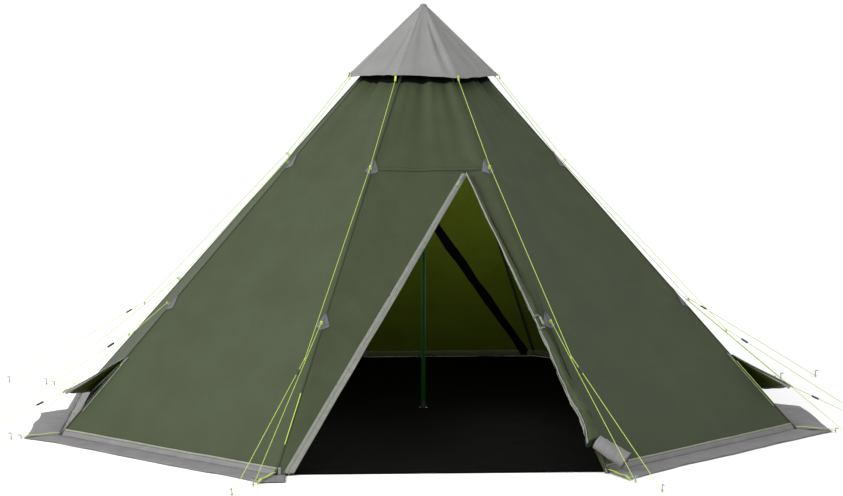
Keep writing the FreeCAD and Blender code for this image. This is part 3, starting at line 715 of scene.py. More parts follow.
upperCord = cordMaterial("limeBraidUpper", cordLook, guyLine["upperLength"])
lowerCord = cordMaterial("limeBraidLower", cordLook, guyLine["lowerLength"])
ventCord = cordMaterial("limeBraidVent", cordLook, guyLine["ventLength"])
lineRadius = guyLine["diameter"] / 2
for seam, seamName in enumerate(seamNames):
    node = nodeNames[seam]
    upper = [onSeam(seam, rho, z) for rho, z in guyLine["upperRoute"]]
    lower = [onSeam(seam, rho, z) for rho, z in guyLine["lowerRoute"]]
    upperPiece = routeCurve("upperGuy" + seamName, upper, lineRadius, upperCord)
    lowerPiece = routeCurve("lowerGuy" + seamName, lower, lineRadius, lowerCord)
    for piece, name in ((upperPiece, "upper_guy_"), (lowerPiece, "lower_guy_")):
        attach(piece, "tent")
        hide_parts(name + node)
    down = (upper[-1] - upper[-3]).normalized()
    farEye = pegLoop("farEye" + seamName, onSeam(seam, guyLine["farPeg"], 0.010), lowerCord)
    nearEye = pegLoop("nearEye" + seamName, onSeam(seam, guyLine["nearPeg"], 0.010), lowerCord)
    tie = knotPiece("joinKnot" + seamName,
                    [(upper[6] - up * 0.004, (upper[7] - upper[5]).normalized(), 0.0045),
                     (upper[6] - up * 0.0135, (lower[3] - lower[0]).normalized(), 0.0042)], lowerCord)
    topKnot = knotPiece("topKnot" + seamName, [(upper[0], (upper[1] - upper[0]).normalized(), 0.004)], lowerCord)
    for piece in (farEye, nearEye, tie, topKnot):
        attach(piece, "tent")
    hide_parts("junction_ties")

for sideName, mirror in (("Right", 1), ("Left", -1)):
    route = [Vector((x * mirror, y, z)) for x, y, z in guyLine["ventRoute"]]
    centreLine = settle(routeCurve("ventLine" + sideName, route, 0.0, None), "ventLine" + sideName)
    bpy.data.objects.remove(centreLine)
    piece = settle(routeCurve("ventGuy" + sideName, route, lineRadius, ventCord), "ventGuy" + sideName)
    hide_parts("vent_guy_" + sideName.lower())
    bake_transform(piece)
    eye = pegLoop("ventEye" + sideName, Vector((guyLine["ventPeg"][0] * mirror, guyLine["ventPeg"][1], 0.010)),
                  ventCord)
    knot = knotPiece("ventKnot" + sideName, [(route[0], (route[1] - route[0]).normalized(), 0.0042)], ventCord)
    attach(eye, "tent")
    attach(knot, sideName.lower() + "_vent")
print("guy lines made")


# Wall cloth: eight gores, drawn in between the seams, creased round the guy points and folded at the throat

cloth = {
    "sag": 0.016,             # how far the middle of a gore is drawn in
    "topFold": 0.011,         # folds that run down from the throat
    "topReach": 0.45,
    "guyCrease": 0.006,       # pulls that fan out from each guy point
    "guyReach": 0.24,
    "guyHeights": (1.550, 0.735),
    "hemRipple": 0.006,
    "hemReach": 0.15,
    "soft": 0.0035,
    "packCrease": 0.0030,     # level creases left by the packing folds
    "packHeights": (1.83, 1.19, 0.88, 0.43),
    "columns": 96,
    "rows": 120,
}


def clothRelief(side, u, z):
    half = max(halfWidth(z), 0.02)
    share = max(-1.0, min(1.0, u / half))
    free = 1 - abs(share) ** 6
    belly = -cloth["sag"] * (1 - share * share) * math.sin(math.pi * min(1.0, z / tent["throatZ"])) ** 0.6
    top = math.exp(-(tent["throatZ"] - z) / cloth["topReach"])
    wander = softNoise(share * 1.6, z * 1.1, side)
    folds = cloth["topFold"] * top * math.sin(share * 7.5 + 2.6 * wander + side * 1.9)
    folds += 0.4 * cloth["topFold"] * top * math.sin(share * 15.0 - 3.1 * wander + side)
    creases = 0.0
    for guyZ in cloth["guyHeights"]:
        for edge in (-1, 1):
            across = abs(u - edge * halfWidth(guyZ))
            along = (z - guyZ) * slantRatio
            away = math.hypot(across, along)
            angle = math.atan2(along, across + 1e-6)
            fade = math.exp(-away / cloth["guyReach"]) * (1 - math.exp(-away / 0.05))
            creases += cloth["guyCrease"] * fade * math.sin(angle * 6.5 + side * 0.8 + edge + 1.5 * wander)
    hem = math.exp(-z / cloth["hemReach"])
    ripple = cloth["hemRipple"] * hem * softNoise(u * 6.0, z * 2.0, side + 20)
    soft = cloth["soft"] * (softNoise(u * 3.2, z * 1.7, side + 40) + 0.5 * softNoise(u * 7.0, z * 4.0, side + 60))
    packed = 0.0
    for i, height in enumerate(cloth["packHeights"]):
        off = (z - height - 0.006 * softNoise(u * 1.5, i, side)) / 0.010
        packed -= cloth["packCrease"] * math.exp(-off * off)
    return (belly + folds + creases + ripple + soft + packed) * free


def wallPanel(name, side, leftEdge, rightEdge, low, high, nodes, flat, area=None, columns=None, rows=None):
    # leftEdge and rightEdge give u at a height; the panel is a single cut of cloth
    def place(s, t):
        z = low + (high - low) * t
        u = leftEdge(z) + (rightEdge(z) - leftEdge(z)) * s
        spot = onSide(side, u, z, clothRelief(side, u, z))
        spot.z = max(spot.z, wallFoot)
        return spot, (u, z * slantRatio)
    piece = gridSheet(name, columns or cloth["columns"], rows or cloth["rows"], place,
                      [outerCloth, innerCloth], tent["clothThick"])
    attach(piece, "tent")
    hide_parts(*nodes)
    return piece


def seamLeft(z):
    return -halfWidth(z)


def seamRight(z):
    return halfWidth(z)


door = {
    "apexU": 0.208, "apexZ": 1.540, "footLeft": -0.845, "footRight": 0.878, "gap": 0.002,
    "seamZ": 1.552, "stormHalf": 0.034, "tieZ": 0.745, "bow": 0.036, "facing": (0.026, 0.018),
}


def zipU(z):
    return door["footLeft"] + (door["apexU"] - door["footLeft"]) * min(1.0, z / door["apexZ"])


def hingeU(z):
    return door["footRight"] + (door["apexU"] - door["footRight"]) * min(1.0, z / door["apexZ"])


def hingeBow(z):
    # above the tie the weight of the roll draws the cloth's edge back from it
    share = min(1.0, max(0.0, (z - door["tieZ"]) / (door["apexZ"] - door["tieZ"])))
    return door["bow"] * math.sin(math.pi * share ** 0.75) ** 1.4


throatZ = tent["throatZ"]
wallFoot = tent["groundGap"]
fullSlant = throatZ * slantRatio
lowerSlant = door["seamZ"] * slantRatio
wideFoot = 2 * halfWidth(0)
wideSeam = 2 * halfWidth(door["seamZ"])
wideThroat = 2 * halfWidth(throatZ)
goreArea = fullSlant * (wideFoot + wideThroat) / 2
overArea = (throatZ - door["seamZ"]) * slantRatio * (wideSeam + wideThroat) / 2
leafArea = (door["footRight"] - door["footLeft"]) * door["apexZ"] * slantRatio / 2
zipSideArea = lowerSlant * (wideFoot / 2 + door["footLeft"] + wideSeam / 2 + door["apexU"]) / 2
hingeSideArea = lowerSlant * (wideFoot / 2 - door["footRight"] + wideSeam / 2 - door["apexU"]) / 2

for side, sideName, node in ((front, "front", "front_wall"), (back, "back", "back_wall")):
    wallPanel(sideName + "WallOverDoor", side, seamLeft, seamRight, door["seamZ"], throatZ, [node],
              (wideSeam, throatZ * slantRatio - lowerSlant), overArea, 96, 44)
    wallPanel(sideName + "WallZipSide", side, seamLeft, lambda z: zipU(z) - door["gap"], wallFoot, door["seamZ"],
              [node], (wideSeam / 2 + door["apexU"], lowerSlant), zipSideArea, 48, 96)
    bow = 1 if side == front else 0
    wallPanel(sideName + "WallHingeSide", side, lambda z, bow=bow: hingeU(z) + door["gap"] + bow * hingeBow(z),
              seamRight, wallFoot, door["seamZ"], [node], (wideSeam / 2 - door["apexU"] + 0.03, lowerSlant),
              hingeSideArea, 24, 96)
wallPanel("backDoorLeaf", back, lambda z: zipU(z) + door["gap"], lambda z: hingeU(z) - door["gap"], wallFoot,
          door["apexZ"] - 0.006, ["back_door"], (door["footRight"] - door["footLeft"], door["apexZ"] * slantRatio),
          leafArea, 72, 96)
for side in cornerSides:
    wallPanel(["", "frontRight", "", "backRight", "", "backLeft", "", "frontLeft"][side] + "Gore", side, seamLeft,
              seamRight, wallFoot, throatZ, ["corner_walls"], (wideFoot, fullSlant), goreArea)


# Side walls, with the vent triangle left out beside the front seam

vent = {"topZ": 0.440, "footZ": 0.140, "reach": 0.700, "open": 22.0, "gap": 0.004}


def ventEdge(z):
    # how far in from the front seam's u the fold line runs, measured as u of the right wall
    share = (vent["topZ"] - z) / (vent["topZ"] - vent["footZ"])
    top, heel = halfWidth(vent["topZ"]), halfWidth(vent["footZ"]) - vent["reach"]
    return top + (heel - top) * min(1.0, max(0.0, share))


for side, sideName, mirror in ((right, "right", -1), (left, "left", 1)):
    def frontEdge(z, mirror=mirror):
        return mirror * (halfWidth(z) if z >= vent["topZ"] else ventEdge(z) - vent["gap"])

    edges = (frontEdge, seamRight) if mirror < 0 else (seamLeft, frontEdge)
    wallPanel(sideName + "WallCloth", side, *edges, vent["footZ"], throatZ, ["side_walls"],
              (wideFoot, fullSlant), goreArea)


def meshPanel(name, side, leftEdge, rightEdge, low, high, node, sag, offset, flat, area=None):
    def place(s, t):
        z = low + (high - low) * t
        u = leftEdge(z) + (rightEdge(z) - leftEdge(z)) * s
        drawn = sag * 16 * s * (1 - s) * t * (1 - t) * (1 + 0.6 * softNoise(u * 4, z * 4, side + 80))
        return onSide(side, u, z, offset - drawn), (u, z * slantRatio)
    piece = gridSheet(name, 30, 20, place, [insectMesh], 0.0006)
    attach(piece, "tent")
    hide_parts(node)
    return piece


for side in range(8):
    meshPanel("throatMesh" + str(side), side, seamLeft, seamRight, throatZ - 0.02, tent["meshTopZ"], "throat_mesh",
              0.006, -0.003, (wideThroat, (tent["meshTopZ"] - throatZ + 0.02) * slantRatio), wideThroat * 0.235)
for side, sideName, mirror in ((right, "right", -1), (left, "left", 1)):
    low, high = vent["footZ"] - 0.012, vent["topZ"] + 0.012

    def seamEdge(z, mirror=mirror):
        return mirror * (halfWidth(z) - 0.008)

    def heelEdge(z, mirror=mirror):
        return mirror * (ventEdge(z) - 0.035)

    edges = (seamEdge, heelEdge) if mirror < 0 else (heelEdge, seamEdge)
    meshPanel(sideName + "VentScreen", side, *edges, low, high, "vent_screens", 0.012, -0.004,
              (vent["reach"] + 0.03, 0.43), 0.18)
print("walls made")


# Grey sill along the ground under each vent, its foot turned out on the skirt

for side, sideName in ((right, "right"), (left, "left")):
    def sillPlace(s, t, side=side):
        z = wallFoot + (vent["footZ"] - wallFoot) * t
        u = halfWidth(z) * (2 * s - 1)
        wave = 0.008 * softNoise(u * 5, z * 6, side + 90) * math.sin(math.pi * s) ** 0.3
        return onSide(side, u, z, wave * (1 - t) - 0.0005), (u, z * slantRatio)
    piece = gridSheet(sideName + "VentSill", 90, 12, sillPlace, [skirtCloth, innerCloth], tent["clothThick"])
    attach(piece, "tent")
    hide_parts("vent_sills")


# Cap: one cone of eight panels over the throat, gathered at the peak, its rim pulled down at the corners

cap = {
    "apex": 2.512, "rimZ": 2.073, "apothem": 0.448, "topZ": 2.500, "thick": 0.0014,
    "rimLift": 0.003, "rimSwing": 0.010, "rimNoise": 0.003, "columns": 26, "rows": 56,
}
capBinding = {"round": 2.97, "wide": 0.022, "thick": 0.0032}
# painted shade: a black band on the top of the walls, under the cap's rim, stands for the rim's shadow
throatShadeBand = {"low": 2.036, "high": 2.142, "swing": 0.006, "lift": 0.0022, "thick": 0.0010}
capSlope = (cap["apex"], cap["apothem"] / (cap["apex"] - cap["rimZ"]))
capSlant = math.hypot(1.0, capSlope[1])
capFolds = (  # side, place at the peak and at the rim across the side, depth, width
    (0, 0.50, 0.80, 0.013, 0.16), (0, -0.35, -0.15, 0.005, 0.30), (1, -0.10, 0.05, 0.004, 0.30),
    (1, 0.70, 0.55, 0.005, 0.16), (2, -0.30, -0.50, 0.006, 0.20), (2, 0.30, 0.40, 0.007, 0.20),
    (3, -0.20, -0.10, 0.006, 0.22), (4, -0.45, -0.60, 0.007, 0.18), (4, 0.25, 0.35, 0.005, 0.24),
    (5, 0.10, 0.20, 0.007, 0.20), (6, -0.40, -0.55, 0.005, 0.22), (6, 0.20, 0.30, 0.006, 0.20),
    (7, 0.60, 0.42, 0.008, 0.10), (7, 0.10, -0.10, 0.003, 0.22))


def capRelief(side, share, t):
    # t is 0 at the peak and 1 at the rim
    free = 1 - abs(share) ** 5
    drawn = -0.008 * math.sin(math.pi * min(1.0, t)) * (1 - share * share)
    deep = 0.0
    for foldSide, high, low, depth, width in capFolds:
        if foldSide == side:
            off = (share - high - (low - high) * t - 0.04 * softNoise(t * 3.0, foldSide, 5)) / width
            fade = smoothStep(0.10, 0.55, t) * (1 - 0.75 * smoothStep(0.88, 1.0, t))
            deep += depth * (0.55 * math.exp(-(off + 1.5) ** 2) - math.exp(-off * off)) * fade
    soft = 0.003 * softNoise(share * 2.2, t * 2.5, side + 11)
    return drawn + (deep + soft) * free


def capPoint(side, share, t, lift=0.0):
    z = cap["topZ"] + (cap["rimZ"] - cap["topZ"]) * t
    rim = smoothStep(0.7, 1.0, t)
    around = (side + share / 2) * 2 * halfSide
    z += rim * (cap["rimLift"] * (1 - share * share) + cap["rimSwing"] * math.cos(3 * (around + halfSide))
                + cap["rimNoise"] * softNoise(share * 2.4, side, 9) * (1 - abs(share) ** 5))
    u = share * halfWidth(z, capSlope)
    return onSide(side, u, z, capRelief(side, share, t) + lift, capSlope)


def sideAndShare(s):
    # s from 0 to 1 goes once round; share from -1 to 1 goes across one side
    around = (s * 8) % 8
    side = int(around) % 8
    return side, 2 * (around - int(around)) - 1


def capPlace(s, t):
    side, share = sideAndShare(s)
    return capPoint(side, share, 1 - t), (s * 8 * 0.371, t * 0.439 * capSlant)


capPiece = gridSheet("capCanopy", cap["columns"] * 8, cap["rows"], capPlace, [capCloth, capInner],
                     cap["thick"], closed=True)
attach(capPiece, "tent")
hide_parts("cap")


def bindingPlace(s, t):
    side, share = sideAndShare(s)
    lift = 0.0014 + 0.0006 * math.sin(math.pi * t)
    return capPoint(side, share, 1.0 - 0.036 * t, lift), (s * capBinding["round"], t * capBinding["wide"])


binding = gridSheet("capBinding", cap["columns"] * 8, 5, bindingPlace, [capCloth], capBinding["thick"],
                    closed=True)
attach(binding, "tent")
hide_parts("cap_binding")


def throatShadePlace(s, t):
    # black band over the top of the wall cloth, turned over it as the mesh's hem; reaching down below the cap's
    # rim, it is painted shade standing for the shadow under the rim
    side, share = sideAndShare(s)
    low = throatShadeBand["low"] + throatShadeBand["swing"] * softNoise(share * 2.0, side, 17)
    z = low + (throatShadeBand["high"] - low) * t
    u = share * (halfWidth(z) + 0.001)
    return onSide(side, u, z, clothRelief(side, u, z) + throatShadeBand["lift"]), (s * 2.4, t * 0.12)


throatShadeStrip = gridSheet("throatShadeStrip", cap["columns"] * 8, 8, throatShadePlace, [stormAndShadeCloth], throatShadeBand["thick"],
                      closed=True)
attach(throatShadeStrip, "tent")


def capLine(t, lift):
    line = []
    for i in range(8 * cap["columns"] + 1):
        around = i / cap["columns"]
        side = int(around) % 8
        line.append(capPoint(side, 2 * (around - int(around)) - 1, t, lift))
    return line


stitchPiece("capRimStitches", [capLine(0.970, 0.0024)], greyThread)
capSeamLines = []
for side in range(8):
    for share in (-0.965, 0.965):
        capSeamLines.append([capPoint(side, share, 0.06 + 0.88 * i / 40, 0.0010) for i in range(41)])
stitchPiece("capSeamStitches", capSeamLines, greyThread)

# a turned plastic button holds the peak
peakPoints = []
peakOutline = ((0.000, 2.5060), (0.010, 2.5052), (0.018, 2.5020), (0.022, 2.4965), (0.021, 2.4900), (0.012, 2.4880),
               (0.000, 2.4880))
for rho, z in peakOutline:
    for i in range(24):
        peakPoints.append((rho * math.cos(i * math.pi / 12), rho * math.sin(i * math.pi / 12), z))
peak = rightWayOut(meshPiece("capPeakButton", peakPoints, gridFaces(24, len(peakOutline) - 1, 0, True), [capCloth]))
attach(peak, "tent")
print("cap made")


# Ground skirt: a loose strip round the foot, rippled, dipping between the pegs

skirt = {
    "width": 0.200, "ripple": 0.014, "edgeWave": 0.030, "edgeDraw": 0.016, "thick": 0.0012, "columns": 110,
    "rows": 12, "floorGap": 0.0022, "tuck": 0.8, "tuckFrom": (0.44, 0.52), "tuckTo": (1.12, 1.28),
}
skirtParts = []


def skirtTuck(side, s):
    # behind the middle of both side walls the strip shows narrow, as one tucked under the wall does; it is only
    # made narrower here, without a fold
    fromFront = {right: s, right + 1: 1 + s, left: 1 - s, left - 1: 2 - s}.get(side, 0.0)
    begins, ends = smoothStep(*skirt["tuckFrom"], fromFront), smoothStep(*skirt["tuckTo"], fromFront)
    return 1 - skirt["tuck"] * begins * (1 - ends)


for side in range(8):
    footLeft = -halfWidth(0)
    footRight = halfWidth(0) if side != front else door["footLeft"] + 0.004
    spreadLeft = skirt["width"] * math.tan(halfSide)
    spreadRight = spreadLeft if side != front else 0.0
    columns = skirt["columns"] if side != front else 8

    def skirtPlace(s, t, side=side, footLeft=footLeft, footRight=footRight, spreadLeft=spreadLeft,
                   spreadRight=spreadRight):
        inner = footLeft + (footRight - footLeft) * s
        outer = (footLeft - spreadLeft) + (footRight + spreadRight - footLeft + spreadLeft) * s
        middle = 1 - abs(2 * s - 1) ** 6 if side != front else 1.0
        wave = (skirt["edgeWave"] * (softNoise(inner * 1.9, side, 13) + 0.4 * softNoise(inner * 5.0, side, 14))
                - skirt["edgeDraw"]) * middle
        reach = t * skirtTuck(side, s)
        u = inner + (outer - inner) * reach
        out = (skirt["width"] - 0.004 + wave) * reach
        bump = skirt["ripple"] * (0.5 + 0.5 * softNoise(u * 5.5, out * 6.0, side + 30))
        fine = 0.35 * skirt["ripple"] * abs(softNoise(u * 14.0, out * 11.0, side + 50))
        z = skirt["floorGap"] + (bump + fine) * (0.35 + 0.65 * math.sin(math.pi * min(1.0, t * 0.85 + 0.1)))
        return turnZ((u, -apothem - out, z), side * 2 * halfSide), (u, out)
    skirtParts.append(settle(gridSheet("skirt" + str(side), columns, skirt["rows"], skirtPlace, [skirtCloth],
                                       skirt["thick"]), "skirt" + str(side)))
for side, piece in enumerate(skirtParts):
    piece.name = "groundSkirt" + str(side)
    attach(piece, "tent")
    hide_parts("ground_skirt")


# Groundsheet: black, laid flat with a few low creases

groundSheet = {"inset": 0.040, "crease": 0.0035, "rings": 44, "columns": 30}


def groundPlace(s, t):
    around = (s * 8) % 8
    side = int(around) % 8
    share = 2 * (around - int(around)) - 1
    reach = (apothem - groundSheet["inset"]) * (0.012 + 0.988 * (1 - t))
    u = share * reach * math.tan(halfSide)
    x, y, _ = turnZ((u, -reach, 0), side * 2 * halfSide)
    ridge = abs(softNoise(x * 1.3, y * 1.3, 71))
    swell = 0.0012 * (0.5 + 0.5 * softNoise(x * 4, y * 4, 72))
    z = 0.0016 + groundSheet["crease"] * max(0.0, 1 - 7 * ridge) + swell
    return Vector((x, y, z)), (x, y)


ground = gridSheet("groundsheetCloth", groundSheet["columns"] * 8, groundSheet["rings"], groundPlace,
                   [groundCloth], 0.0008, closed=True)
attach(ground, "tent")
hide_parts("groundsheet")
print("skirt and groundsheet made")


# Seams: a felled ridge down each corner with two rows of stitches, a pale fold and a dark band at each foot

seamTape = {"half": 0.0085, "rise": 0.0016}


def ridgeStrip(name, lines, materials, rise, thick):
    # a strip whose long edges follow two lines of points, raised in the middle
    parts = []
    for index, (first, second, lift) in enumerate(lines):
        def place(s, t, first=first, second=second, lift=lift):
            k = min(len(first) - 1, int(round(t * (len(first) - 1))))
            point = first[k].lerp(second[k], s) + lift * (0.0008 + rise * math.sin(math.pi * s))
            return point, (s * (second[k] - first[k]).length, t * (first[-1] - first[0]).length)
        parts.append(settle(gridSheet(name + str(index), 4, len(first) - 1, place, materials, thick),
                            name + str(index)))
    return joinPieces(name, parts)


seamLines, seamStitches = [], []
for seam in range(8):
    sideA, sideB = seam, (seam + 1) % 8
    seamOut = (outOfSide(sideA) + outOfSide(sideB)).normalized()
    ventSeam = seam in (1, 6)
    lowZ = 0.008
    first, second = [], []
    for i in range(90):
        z = lowZ + (throatZ - 0.006 - lowZ) * i / 89
        halfTape = seamTape["half"] * (1 if not (ventSeam and z < vent["topZ"] + 0.02) else 0.85)
        first.append(onSide(sideA, halfWidth(z) - halfTape, z, 0.0004))
        second.append(onSide(sideB, -halfWidth(z) + halfTape, z, 0.0004))
    seamLines.append((first, second, seamOut))
    for share in (0.16, 0.84):
        seamStitches.append([a.lerp(b, share) + seamOut * (0.0012 + seamTape["rise"] * math.sin(math.pi * share))
                             for a, b in zip(first, second)])
seams = ridgeStrip("wallSeams", seamLines, [seamCloth], seamTape["rise"] + 0.0034, 0.0012)
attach(seams, "tent")
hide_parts("seam_tapes")
stitchPiece("seamStitches", seamStitches, greenThread)


def wallLine(side, leftU, rightU, z, count, lift):
    return [onSide(side, leftU + (rightU - leftU) * i / (count - 1), z,
                   clothRelief(side, leftU + (rightU - leftU) * i / (count - 1), z) + lift) for i in range(count)]


hemLines, hemGreyLines, hemStitches = [], [], []
for side in range(8):
    spans = [(-halfWidth(0.02) + 0.01, halfWidth(0.02) - 0.01)]
    if side in (front, back):
        spans = [(-halfWidth(0.02) + 0.01, zipU(0) - 0.02), (hingeU(0) + 0.02, halfWidth(0.02) - 0.01)]
        if side == back:
            spans = [(-halfWidth(0.02) + 0.01, halfWidth(0.02) - 0.01)]
    for leftU, rightU in spans:
        count = max(3, int((rightU - leftU) * 50))
        lift = outOfSide(side)
        hemLines.append((wallLine(side, leftU, rightU, 0.032, count, 0.0006),
                         wallLine(side, leftU, rightU, 0.041, count, 0.0006), lift))
        hemGreyLines.append((wallLine(side, leftU, rightU, 0.004, count, 0.0006),
                             wallLine(side, leftU, rightU, 0.031, count, 0.0006), lift))
        hemStitches.append(wallLine(side, leftU, rightU, 0.045, count, 0.0010))
hems = ridgeStrip("hemFolds", hemLines, [hemFold], 0.0014, 0.0010)
hemBands = ridgeStrip("hemBands", hemGreyLines, [skirtCloth], 0.0010, 0.0010)
for piece, slotName in ((hems, "seam_tape"), (hemBands, "skirt_cloth")):
    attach(piece, "tent")
stitchPiece("hemStitches", hemStitches, greenThread)

levelLines, levelStitches = [], []
for side in (front, back):
    leftU, rightU = -halfWidth(door["seamZ"]) + 0.010, halfWidth(door["seamZ"]) - 0.010
    z = door["seamZ"]
    levelLines.append((wallLine(side, leftU, rightU, z - 0.006, 60, 0.0004),
                       wallLine(side, leftU, rightU, z + 0.010, 60, 0.0004), outOfSide(side)))
    levelStitches += [wallLine(side, leftU, rightU, z + 0.007, 60, 0.0026),
                      wallLine(side, leftU, rightU, z - 0.003, 60, 0.0026)]
level = ridgeStrip("levelSeams", levelLines, [outerCloth], 0.0009, 0.0010)

# the same seam down the hinge side of the closed back door


def hingeLine(across, lift):
    heights = [0.045 + (door["apexZ"] - 0.050) * i / 89 for i in range(90)]
    return [onSide(back, hingeU(z) + across, z, clothRelief(back, hingeU(z) + across, z) + lift) for z in heights]


hingeSeam = ridgeStrip("backHingeSeam", [(hingeLine(0.009, 0.0004), hingeLine(-0.009, 0.0004), outOfSide(back))],
                       [outerCloth], 0.0009, 0.0010)
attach(hingeSeam, "tent")
stitchPiece("hingeSeamStitches", [hingeLine(0.006, 0.0026), hingeLine(-0.006, 0.0026)], greenThread)

# inside: a dark felled edge down each corner, and a pale facing along the foot that covers the cut edge
innerLines, facingLines = [], []
for seam in range(8):
    sideA, sideB = seam, (seam + 1) % 8
    inwards = -(outOfSide(sideA) + outOfSide(sideB)).normalized()
    first, second = [], []
    for i in range(70):
        z = 0.05 + (throatZ - 0.06) * i / 69
        first.append(onSide(sideB, -halfWidth(z) + 0.012, z, -0.0032))
        second.append(onSide(sideA, halfWidth(z) - 0.012, z, -0.0032))
    innerLines.append((first, second, inwards))
for side in range(8):
    spans = [(-halfWidth(0.03) + 0.006, halfWidth(0.03) - 0.006)]
    if side == front:
        spans = [(-halfWidth(0.03) + 0.006, zipU(0) - 0.03), (hingeU(0) + 0.02, halfWidth(0.03) - 0.006)]
    for leftU, rightU in spans:
        count = max(3, int((rightU - leftU) * 50))
        facingLines.append((wallLine(side, leftU, rightU, 0.052, count, -0.0026),
                            wallLine(side, leftU, rightU, 0.012, count, -0.0060), -outOfSide(side)))
innerSeams = ridgeStrip("innerSeams", innerLines, [seamCloth], 0.0030, 0.0010)
footFacing = ridgeStrip("footFacing", facingLines, [footFacingCloth], 0.0020, 0.0010)
for piece, slotName in ((innerSeams, "seam_tape"), (footFacing, "binding_tape")):
    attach(piece, "tent")
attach(level, "tent")
stitchPiece("levelSeamStitches", levelStitches, greenThread)
print("seams and hems made")


# Zips: tape, nylon coil and slider on both doors and both vents

zipper = {"tapeHalf": 0.016, "tapeThick": 0.0012, "coilPitch": 0.0042, "coil": (0.0016, 0.0058, 0.0030)}


def ribbon(name, centreLine, across, out, half, thick, material, rise=0.0):
    # a flat tape along a line of points, across giving its width direction
    count = len(centreLine)

    def place(s, t):
        k = min(count - 1, int(round(t * (count - 1))))
        offset = (2 * s - 1) * half
        return centreLine[k] + across * offset + out * (rise * (1 - (2 * s - 1) ** 2)), (offset, t * count * 0.02)
    return settle(gridSheet(name, 4, count - 1, place, [material], thick), name)


def zipSet(name, low, high, wall, out, half, node, material=zipTape):
    # low and high are the ends of the zip, wall gives the lift of the cloth under it
    count = max(8, int((high - low).length / 0.02))
    line = [low.lerp(high, i / (count - 1)) + out * wall(i / (count - 1)) for i in range(count)]
    direction = (high - low).normalized()
    across = direction.cross(out).normalized()
    tape = ribbon(name + "Tape", line, across, out, half, zipper["tapeThick"], material, 0.0008)
    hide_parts(node)
    coilLine = [point + out * 0.0022 for point in line]
    width, height, length = zipper["coil"]
    coil = stepPiece(name + "Coil", [coilLine], teethTree,
                     {"Pitch": zipper["coilPitch"], "Length": length, "Width": height, "Height": height * 0.55,
                      "Seed": 5, "Material": zipCoil})
    stitches = stepPiece(name + "Stitches",
                         [[p + across * half * 0.82 * sign + out * 0.0010 for p in line] for sign in (-1, 1)],
                         stitchTree, {**stitch, "Material": greyThread if material == zipTape else greenThread})
    for piece in (tape, coil, stitches):
        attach(piece, "tent")
    return line


for side, sideName in ((front, "front"), (back, "back")):
    lowZ, highZ = 0.014, door["apexZ"] - 0.010
    low = onSide(side, zipU(lowZ), lowZ, 0.0012)
    high = onSide(side, zipU(highZ), highZ, 0.0012)

    def doorWall(share, side=side, lowZ=lowZ, highZ=highZ):
        z = lowZ + (highZ - lowZ) * share
        return clothRelief(side, zipU(z), z)
    zipSet(sideName + "Zip", low, high, doorWall, outOfSide(side), zipper["tapeHalf"], "door_zips")

# facing of the open front door: a pale strip left by the zip's flap, wider towards the ground


def facingPlace(s, t):
    z = 0.014 + (door["apexZ"] - 0.022) * t
    narrow, spread = door["facing"]
    wide = narrow + spread * (1 - t) ** 1.5 + 0.004 * softNoise(z * 5, 2, 93)
    u = zipU(z) - 0.005 + wide * s
    curl = 0.004 * s * s * (0.6 + 0.6 * softNoise(z * 4, 6, 94))
    return onSide(front, u, z, clothRelief(front, zipU(z), z) + 0.0022 - curl), (wide * s, z * slantRatio)


facing = gridSheet("doorFacing", 6, 110, facingPlace, [zipTape], 0.0010)
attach(facing, "tent")

# storm flap: a loose black strip inside the closed back door


def stormPlace(s, t):
    z = 0.016 + (door["apexZ"] - 0.030) * t
    u = zipU(z) + (2 * s - 1) * door["stormHalf"] * (1 + 0.25 * softNoise(z * 6, 3, 91))
    hang = 0.004 + 0.010 * s * (0.5 + 0.5 * math.sin(z * 23 + 2 * softNoise(z * 3, 1, 92)))
    return onSide(back, u, z, clothRelief(back, zipU(z), z) - hang), (u, z * slantRatio)


storm = gridSheet("stormFlap", 8, 90, stormPlace, [stormAndShadeCloth], 0.0010)
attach(storm, "tent")
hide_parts("storm_flap")


def makeSlider(name, node, body, centre, direction, out, size, pull, pullMaterial):
    # cast slider with a bridge and a plate pull; X runs up the zip
    across, tall, along = size
    parts = [bevelBox(name + "Body", (along, across, tall * 0.55), 0.0012, zipMetal)]
    parts[0].data.transform(Matrix.Translation((0, 0, tall * 0.28)))
    bridge = tubePiece(name + "Bridge", [(along * 0.34, 0, tall * 0.4), (along * 0.30, 0, tall * 0.95),
                                         (-along * 0.30, 0, tall * 0.95), (-along * 0.34, 0, tall * 0.4)],
                       0.0011, zipMetal)
    plate = roundPlate(name + "Plate", pull[2] * 0.5, pull[0], pull[1] * 0.7,
                       [(pull[2] * 0.17, pull[0] * 0.28, pull[0] * 0.25)], 0.0004, zipMetal)
    plate.data.transform(Matrix.Translation((-along * 0.30 - pull[2] * 0.22, 0, tall * 0.75)))
    cordPull = tubePiece(name + "Cord",
                         [(-along * 0.3 - pull[2] * 0.38, 0.001, tall * 0.6),
                          (-along * 0.3 - pull[2] * 0.55, 0.0022, tall * 0.5),
                          (-along * 0.5 - pull[2] * 0.93, 0.0016, tall * 0.4),
                          (-along * 0.5 - pull[2] * 0.97, -0.0002, tall * 0.4),
                          (-along * 0.5 - pull[2] * 0.93, -0.0018, tall * 0.4),
                          (-along * 0.3 - pull[2] * 0.55, -0.0022, tall * 0.5)],
                         0.0013, pullMaterial)
    piece = joinPieces(name, parts + [bridge, plate, cordPull])
    placeAlong(piece, centre, direction, out)
    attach(piece, body)
    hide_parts(node)
    return piece


